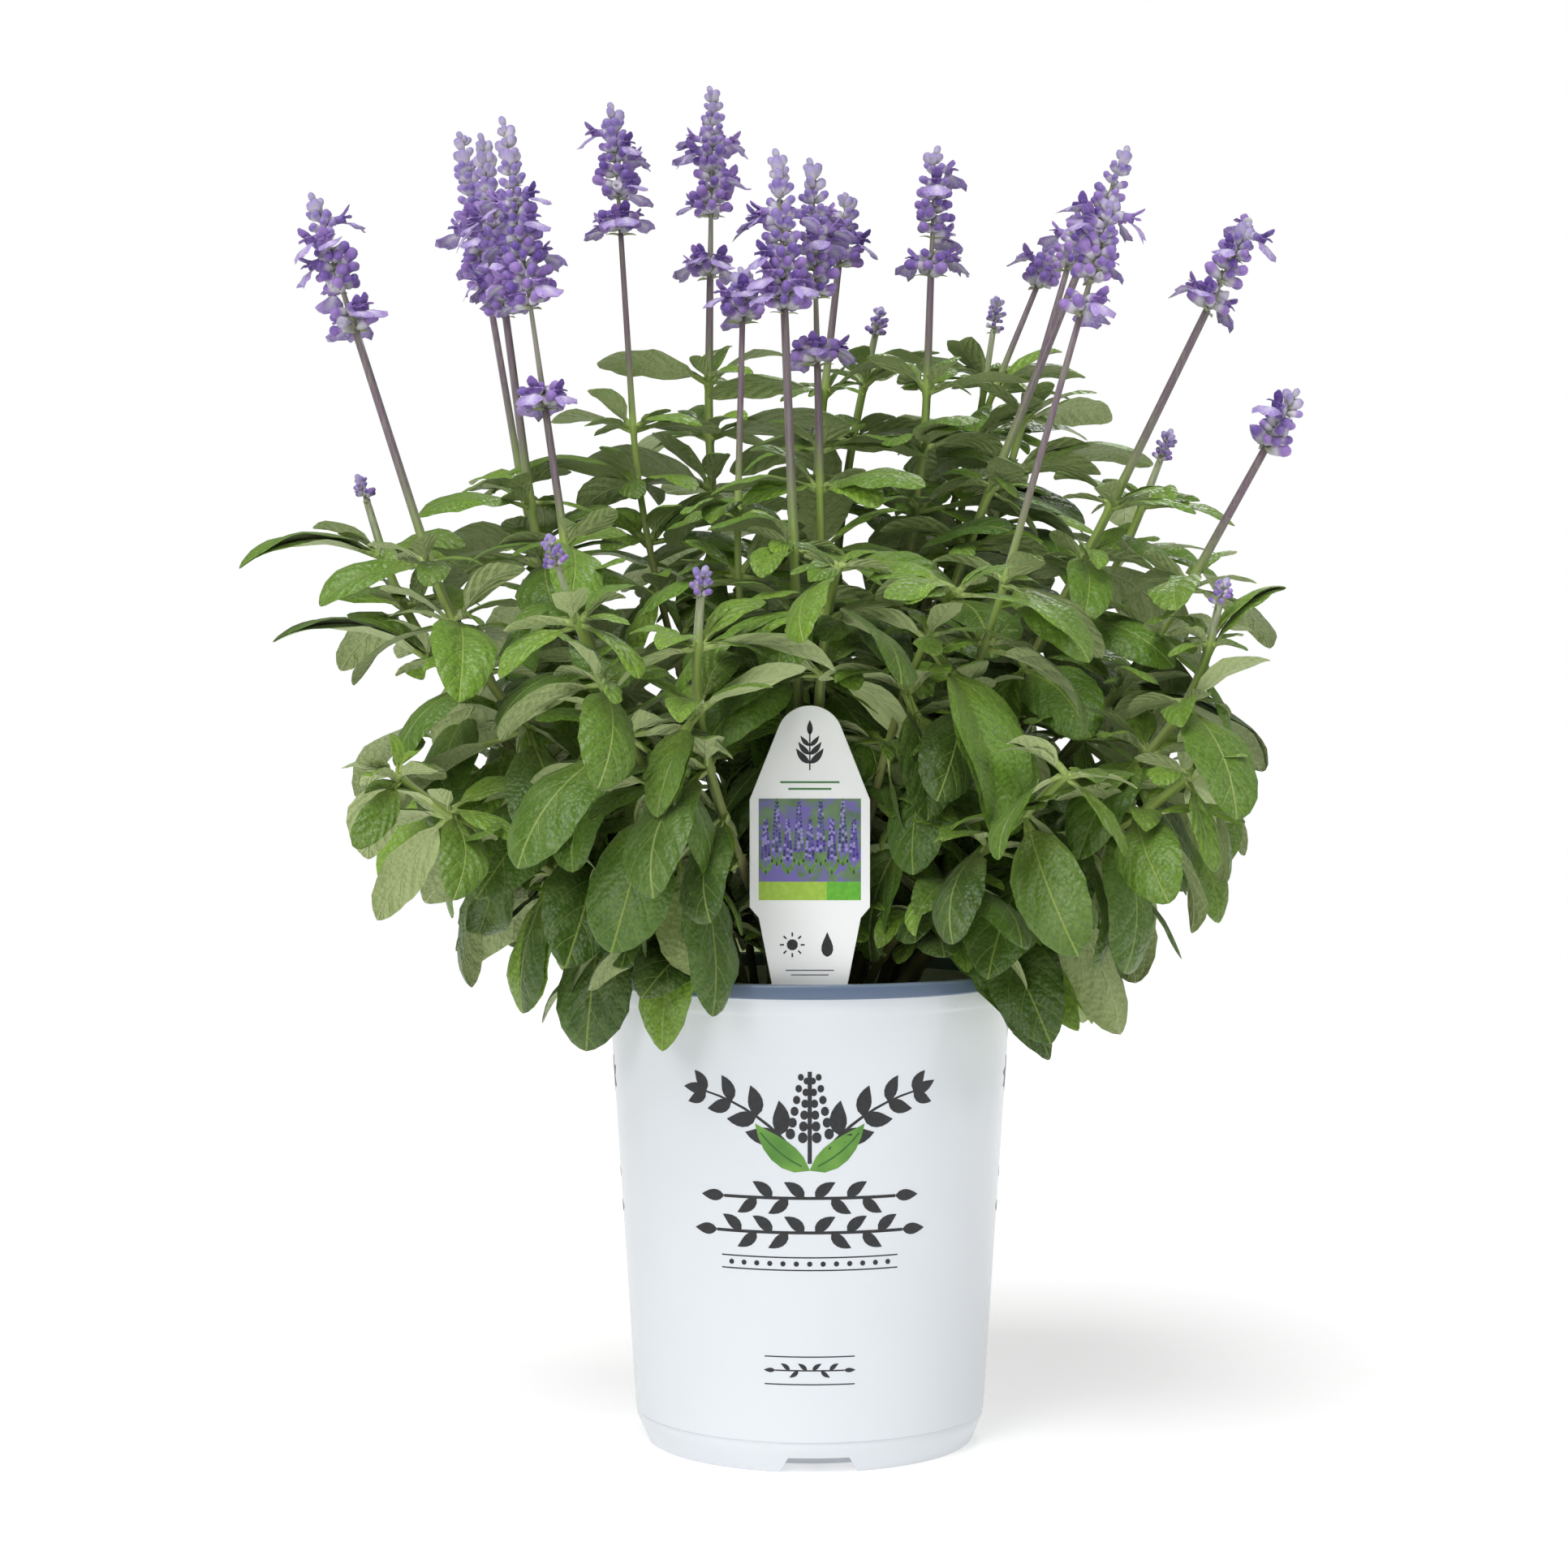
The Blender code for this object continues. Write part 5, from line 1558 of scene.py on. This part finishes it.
def turned_part(bm, layer, rings, rng, squash=1.0):
    """A closed form round +X through (x, radius, corolla share) rings, a little uneven."""
    rows = []
    bend = rng.uniform(-0.5, 0.5)
    for x, radius, _ in rings:
        ring = []
        for i in range(BUD_SIDES):
            turn = i * math.tau / BUD_SIDES
            reach = radius * rng.uniform(0.9, 1.1)
            y, z = reach * math.cos(turn), reach * math.sin(turn) * squash
            ring.append(bm.verts.new(vector_mm((x, y, z + bend * (x / 9) ** 2))))
        rows.append(ring)
    span = rings[-1][0] * MM
    faces = [(rows[0], [rings[0][2]] * BUD_SIDES), (rows[-1], [rings[-1][2]] * BUD_SIDES)]
    for row, (low, high) in enumerate(zip(rows, rows[1:])):
        shares = [rings[row][2]] * 2 + [rings[row + 1][2]] * 2
        for i in range(BUD_SIDES):
            j = (i + 1) % BUD_SIDES
            faces.append(([low[i], low[j], high[j], high[i]], shares))
    for corners, shares in faces:
        made = bm.faces.new(corners)
        made.smooth = True
        for loop, share in zip(made.loops, shares):
            loop[layer] = (share, loop.vert.co.x / span, 0)


def petal(bm, layer, spine, widths, cup, rng, notch=0.0, mark=0.0, petals=1.0, ruffle=0.0):
    """A thin closed petal along a spine of (x, z), which curls up to its sides by cup."""
    rings = []
    for row, ((x, z), width) in enumerate(zip(spine, widths)):
        share = row / (len(spine) - 1)
        top = []
        for k in range(5):
            t = (k - 2) / 2
            pull = notch * (1 - abs(t)) if row == len(spine) - 1 else 0
            wave = rng.uniform(-ruffle, ruffle) * share * (0.3 + abs(t))
            top.append(Vector((x - pull, t * width, z + cup * t * t * width + wave)))
        drop = Vector((0, 0, -PETAL_THICKNESS + PETAL_THINNING * share))
        rings.append([point * MM for point in top + [point + drop for point in reversed(top)]])
    before = len(bm.verts)
    faces_before = set(bm.faces)
    add_skin(bm, rings)
    bm.verts.ensure_lookup_table()
    rows_of = {corner: i // 10 for i, corner in enumerate(bm.verts[before:])}
    for made in set(bm.faces) - faces_before:
        made.smooth = True
        for loop in made.loops:
            share = rows_of[loop.vert] / (len(spine) - 1)
            near_middle = 1 - min(1, abs(loop.vert.co.y) / MARK_HALF_WIDTH)
            loop[layer] = (petals, 0.5 + 0.5 * share, mark * near_middle * (1 - share) ** 0.7)
    return bm.verts[before:]


def open_flower(bm, layer, rng):
    """A tube with a short hood, two side lobes and a broad ruffled lower lip."""
    turned_part(bm, layer, FLOWER_TUBE, rng)
    side = rng.uniform(-0.5, 0.5)
    lower = ((8.3, -1.6), (10.1, -2.2), (12.0, -3.2 + side), (14.0, -4.9 + side), (15.6, -6.8))
    widths = (1.6, 3.2, 5.4, 6.0, 4.2)
    marked = {"notch": 1.6, "mark": 1.0, "petals": LIP_SHARE, "ruffle": 1.1}
    petal(bm, layer, lower, widths, -0.12, rng, **marked)
    upper = ((8.3, 1.5), (9.8, 3.0), (11.4, 4.2), (12.4, 4.9))
    petal(bm, layer, upper, (1.6, 2.3, 2.2, 1.0), -0.5, rng)
    for hand in (-1, 1):
        spine = ((8.6, 0.4), (10.4, 0.4), (12.2, -0.2))
        swing = Matrix.Rotation(hand * 0.75, 4, "Z")
        for corner in petal(bm, layer, spine, (1.2, 2.2, 1.3), 0.1, rng, ruffle=0.4):
            corner.co = vector_mm((8.4, hand, 0)) + swing @ (corner.co - vector_mm((8.4, 0, 0)))


def floret_mesh(name, kind, rng):
    """A flower of one kind, with corner values: its corolla share, how far out, and white marks."""
    bm = bmesh.new()
    layer = bm.loops.layers.float_vector.new("floret")
    if kind == OPEN:
        open_flower(bm, layer, rng)
    elif kind == BRACT:
        spine = ((0, 0), (1.4, -0.1), (3.2, -0.5), (5.2, -1.2), (7.0, -2.2))
        petal(bm, layer, spine, (0.6, 1.3, 1.6, 1.1, 0.1), 0.25, rng, petals=BRACT_SHARE)
    else:
        rings = {TIP: TIP_BUD, CLOSED: CLOSED_BUD, HOODED: HOODED_BUD, EMPTY: EMPTY_CALYX}[kind]
        turned_part(bm, layer, rings, rng, squash=1.12 if kind == HOODED else 1.0)
    return to_mesh(bm, name)


# Petals and felted calyces: both matt, the calyx floury with short hairs. Floret values give the
# share of corolla, how far out along the flower a point is, and the white marks on the lower lip.
flower_finish, tree, shader, where = start_material("felted violet flower")
floret = add_node(tree, "Attribute", output="Vector", attribute_name="floret")
tone = add_node(tree, "Attribute", output="Fac", attribute_name="tone")
age = add_node(tree, "Attribute", output="Fac", attribute_name="youth")
petals, outward, marks = add_node(tree, "SeparateXYZ", {"Vector": floret}).node.outputs
flour = add_node(tree, "TexNoise", {"Vector": where, "Scale": 1 / (0.9 * MM), "Detail": 3.0})
foot = add_node(tree, "MapRange", (outward, 0, 0.35, 0.75, 0.0))
deep = add_node(tree, "MapRange", (flour, 0.45, 0.7, 0, 0.6))
throat = add_node(tree, "MapRange", (outward, 0.5, 0.62, 0.45, 0.0))
lip_part = add_node(tree, "MapRange", (petals, 1.0, LIP_SHARE))
veined = add_node(tree, "MapRange", (flour, 0.4, 0.6, 0.35, 0.85))
lip = add_node(tree, "Math", (lip_part, veined), operation="MULTIPLY")
leafy = add_node(tree, "Math", (petals, BRACT_SHARE / 2), operation="LESS_THAN")
specks = add_node(tree, "MapRange", (flour, 0.52, 0.72, 0, 0.3))
corolla = "#61409c"
for share, code in (
    (tone, "#a682ca"),
    (age, "#9788c4"),
    (deep, "#402e8a"),
    (lip, "#b8a4de"),
    (throat, "#9a72a8"),
    (marks, "#f2eef8"),
):
    corolla = add_node(tree, "Mix", {0: share, 6: corolla, 7: code}, 2, data_type="RGBA")
petals = add_node(tree, "Clamp", {"Value": petals})
shade = "#b1abbf"
for share, coat in (
    (tone, "#d0cdd6"),
    (foot, "#aab091"),
    (petals, corolla),
    (leafy, "#8a9660"),
    (specks, "#cbc6da"),
):
    shade = add_node(tree, "Mix", {0: share, 6: shade, 7: coat}, 2, data_type="RGBA")
bump = add_node(tree, "Bump", {"Height": flour, "Distance": 0.3 * MM, "Strength": 0.6})
connect(shader, {"Base Color": shade, "Normal": bump, "Roughness": 0.6})
connect(shader, {"Sheen Weight": 0.3, "Sheen Roughness": 0.5, "Sheen Tint": "#efe9f6"})


def head_width(share, widest):
    """The head's radius to its bud tips, from its base at 0 to its tip at 1."""
    return HEAD_TIP_RADIUS + (widest - HEAD_TIP_RADIUS) * (1 - share) ** HEAD_TAPER_POWER


def flower_on(head, kind, height, reach, turn, rise, rng, age):
    """A flower whose tip is at a height and reach, as (root, turn, size, shape, age)."""
    length = max(reach - FLOWER_ROOT, SHORTEST_FLOWER) / math.cos(rise)
    root = Vector((0, 0, height - length * math.sin(rise)))
    way = head @ Matrix.Translation(root) @ Matrix.Rotation(turn, 4, "Z")
    way = way @ Matrix.Rotation(-rise, 4, "Y")
    spin = rng.uniform(-0.25, 0.25) if kind in (OPEN, BRACT) else rng.uniform(0, math.tau)
    way = way @ Matrix.Rotation(spin, 4, "X") @ Matrix.Translation((FLOWER_ROOT, 0, 0))
    shape = kind * FLOWER_VARIANTS + rng.randrange(FLOWER_VARIANTS)
    return way.translation, way.to_euler("XYZ"), length / FLOWER_LENGTHS[kind], shape, age


def kind_at(share, bloom, rng):
    """Buds near the tip are in their calyx, those low on a head in bloom are opening."""
    if share > 0.8:
        return TIP
    if rng.random() < bloom * (0.75 - share):
        return HOODED
    if share < 0.3 and rng.random() < 0.12:
        return EMPTY
    return CLOSED


def whorl(head, height, reach, share, bloom, rng, start, count):
    """A ring of flowers round the stalk, each a little out of line."""
    flowers = []
    for i in range(count):
        if rng.random() < MISSING_BUDS:
            continue
        kind = kind_at(share, bloom, rng)
        turn = start + (i + rng.uniform(-0.22, 0.22)) * math.tau / count
        rise = math.radians(10 + 48 * share**1.4) + rng.uniform(-0.22, 0.2)
        out = reach * rng.uniform(0.8, 1.07) * {HOODED: 1.15, EMPTY: 0.62}.get(kind, 1)
        age = min(1, max(0, (share - 0.3) * 1.5)) * rng.uniform(0.6, 1)
        level = height + rng.uniform(-0.9, 0.9) * MM
        flowers.append(flower_on(head, kind, level, out, turn, rise, rng, age))
    for i in range(2 if share < 0.7 else 0):
        turn = start + math.pi * i + rng.uniform(-0.3, 0.3)
        flowers.append(flower_on(head, BRACT, height - 2.5 * MM, reach * 0.62, turn, 0.35, rng, 0))
    return flowers


def dense_part(head, dense, whole, widest, bloom, rng):
    """Row over row of buds, half a step round from each other."""
    small = widest == SMALL_HEAD_RADIUS
    rows = max(3, round(dense / (SMALL_BUD_ROW if small else BUD_ROW)) + 1)
    flowers = []
    for row in range(rows):
        share = (row + 0.4) / rows
        shown = 0.2 + 0.7 * share if small else share
        count = 5 if small or share > 0.85 else 6 if share > 0.6 else 7
        reach = head_width(share, widest) * (0.92 if share < 0.06 else 1)
        start = row * 0.5 * math.tau / count
        flowers += whorl(head, whole - dense * (1 - share), reach, shown, bloom, rng, start, count)
    flowers.append(flower_on(head, TIP, whole, 1.4 * MM, 0, math.radians(70), rng, 1))
    return flowers


def head_flowers(index, head, dense, whole, bloom, rng):
    """Every flower of a head: its dense part, a lone lower whorl on some, and open flowers."""
    small = whole <= SMALL_HEAD * MM
    widest = SMALL_HEAD_RADIUS if small else HEAD_RADIUS
    flowers = dense_part(head, dense, whole, widest, bloom, rng)
    lone = 2 if whole > dense else 0
    if lone:
        for height, reach in LONE_WHORL:
            flowers += whorl(head, height, reach, 0.05, bloom, rng, height * 900, 6)
    if small:
        return flowers
    for i in range(lone + 1 + int(dense / FLOWER_EVERY)):
        height = whole - dense + BUD_ROW * (FIRST_FLOWER_ROW + i)
        height = WHORL_LENGTH / 2 if i < lone else height
        turn = index + i * GOLDEN_ANGLE
        flowers.append(flower_on(head, OPEN, height, FLOWER_REACH, turn, 0.0, rng, 0))
    for i in range(round(bloom * dense / FLOWER_ROOM)):
        height = whole - dense * rng.uniform(0.35, 0.97)
        reach, turn = rng.uniform(12.5, 17) * MM, rng.uniform(0, math.tau)
        flowers.append(flower_on(head, OPEN, height, reach, turn, rng.uniform(-0.15, 0.35), rng, 0))
    for i in range(round(bloom * 3) if lone else 0):
        height, turn = rng.uniform(4, 8) * MM, rng.uniform(0, math.tau)
        flowers.append(flower_on(head, OPEN, height, 14 * MM, turn, rng.uniform(-0.1, 0.3), rng, 0))
    return flowers


def rachis_mesh(name, head, whole):
    """The stalk inside the head, which tapers to its tip."""
    rings = []
    for i in range(7):
        place = head @ Matrix.Translation((0, 0, (whole - 2 * MM) * i / 6))
        rings.append(grooved_square(place, RACHIS_RADIUS * (1 - 0.75 * i / 6)))
    return grown_tube(name, rings, [(1.0, 1.0, 0.6)] * 7)


rng = random.Random(5)
count = len(FLOWER_LENGTHS) * FLOWER_VARIANTS
meshes = [floret_mesh(f"flower {i}", i // FLOWER_VARIANTS, rng) for i in range(count)]
flower_shapes = shape_collection("flower shape", meshes)
flowering = growing_tree("flowers on a head")
for index, (joint, tip, dense, whole, bloom) in enumerate(FLOWERING, 1):
    joint, tip = vector_mm(joint), vector_mm(tip)
    heading = (tip - joint).normalized()
    base = tip - heading * whole * MM
    head = Matrix.Translation(base) @ heading.to_track_quat("Z", "Y").to_matrix().to_4x4()
    rng = random.Random(100 + index)
    flowers = head_flowers(index, head, dense * MM, whole * MM, bloom, rng)
    roots, turns, sizes, shapes, ages = zip(*flowers)
    points = points_mesh(
        f"flower points {index}",
        roots,
        shape=shapes,
        turn=[angle for turn in turns for angle in turn],
        size=sizes,
        tone=[rng.random() for _ in flowers],
        youth=ages,
    )
    rachis = rachis_mesh(f"rachis {index}", head, whole * MM)
    name = f"sage_flower_{index:02d}"
    piece = grow(name, points, flowering, rachis, flower_shapes, stem_finish, flower_finish)
    show(piece, "flower", f"flower_head_{index:02d}")
clear_collection(flower_shapes)


boxes = {"cad": cad_box, "visual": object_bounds()}
{name: [list(map(float, corner)) for corner in box] for name, box in boxes.items()}
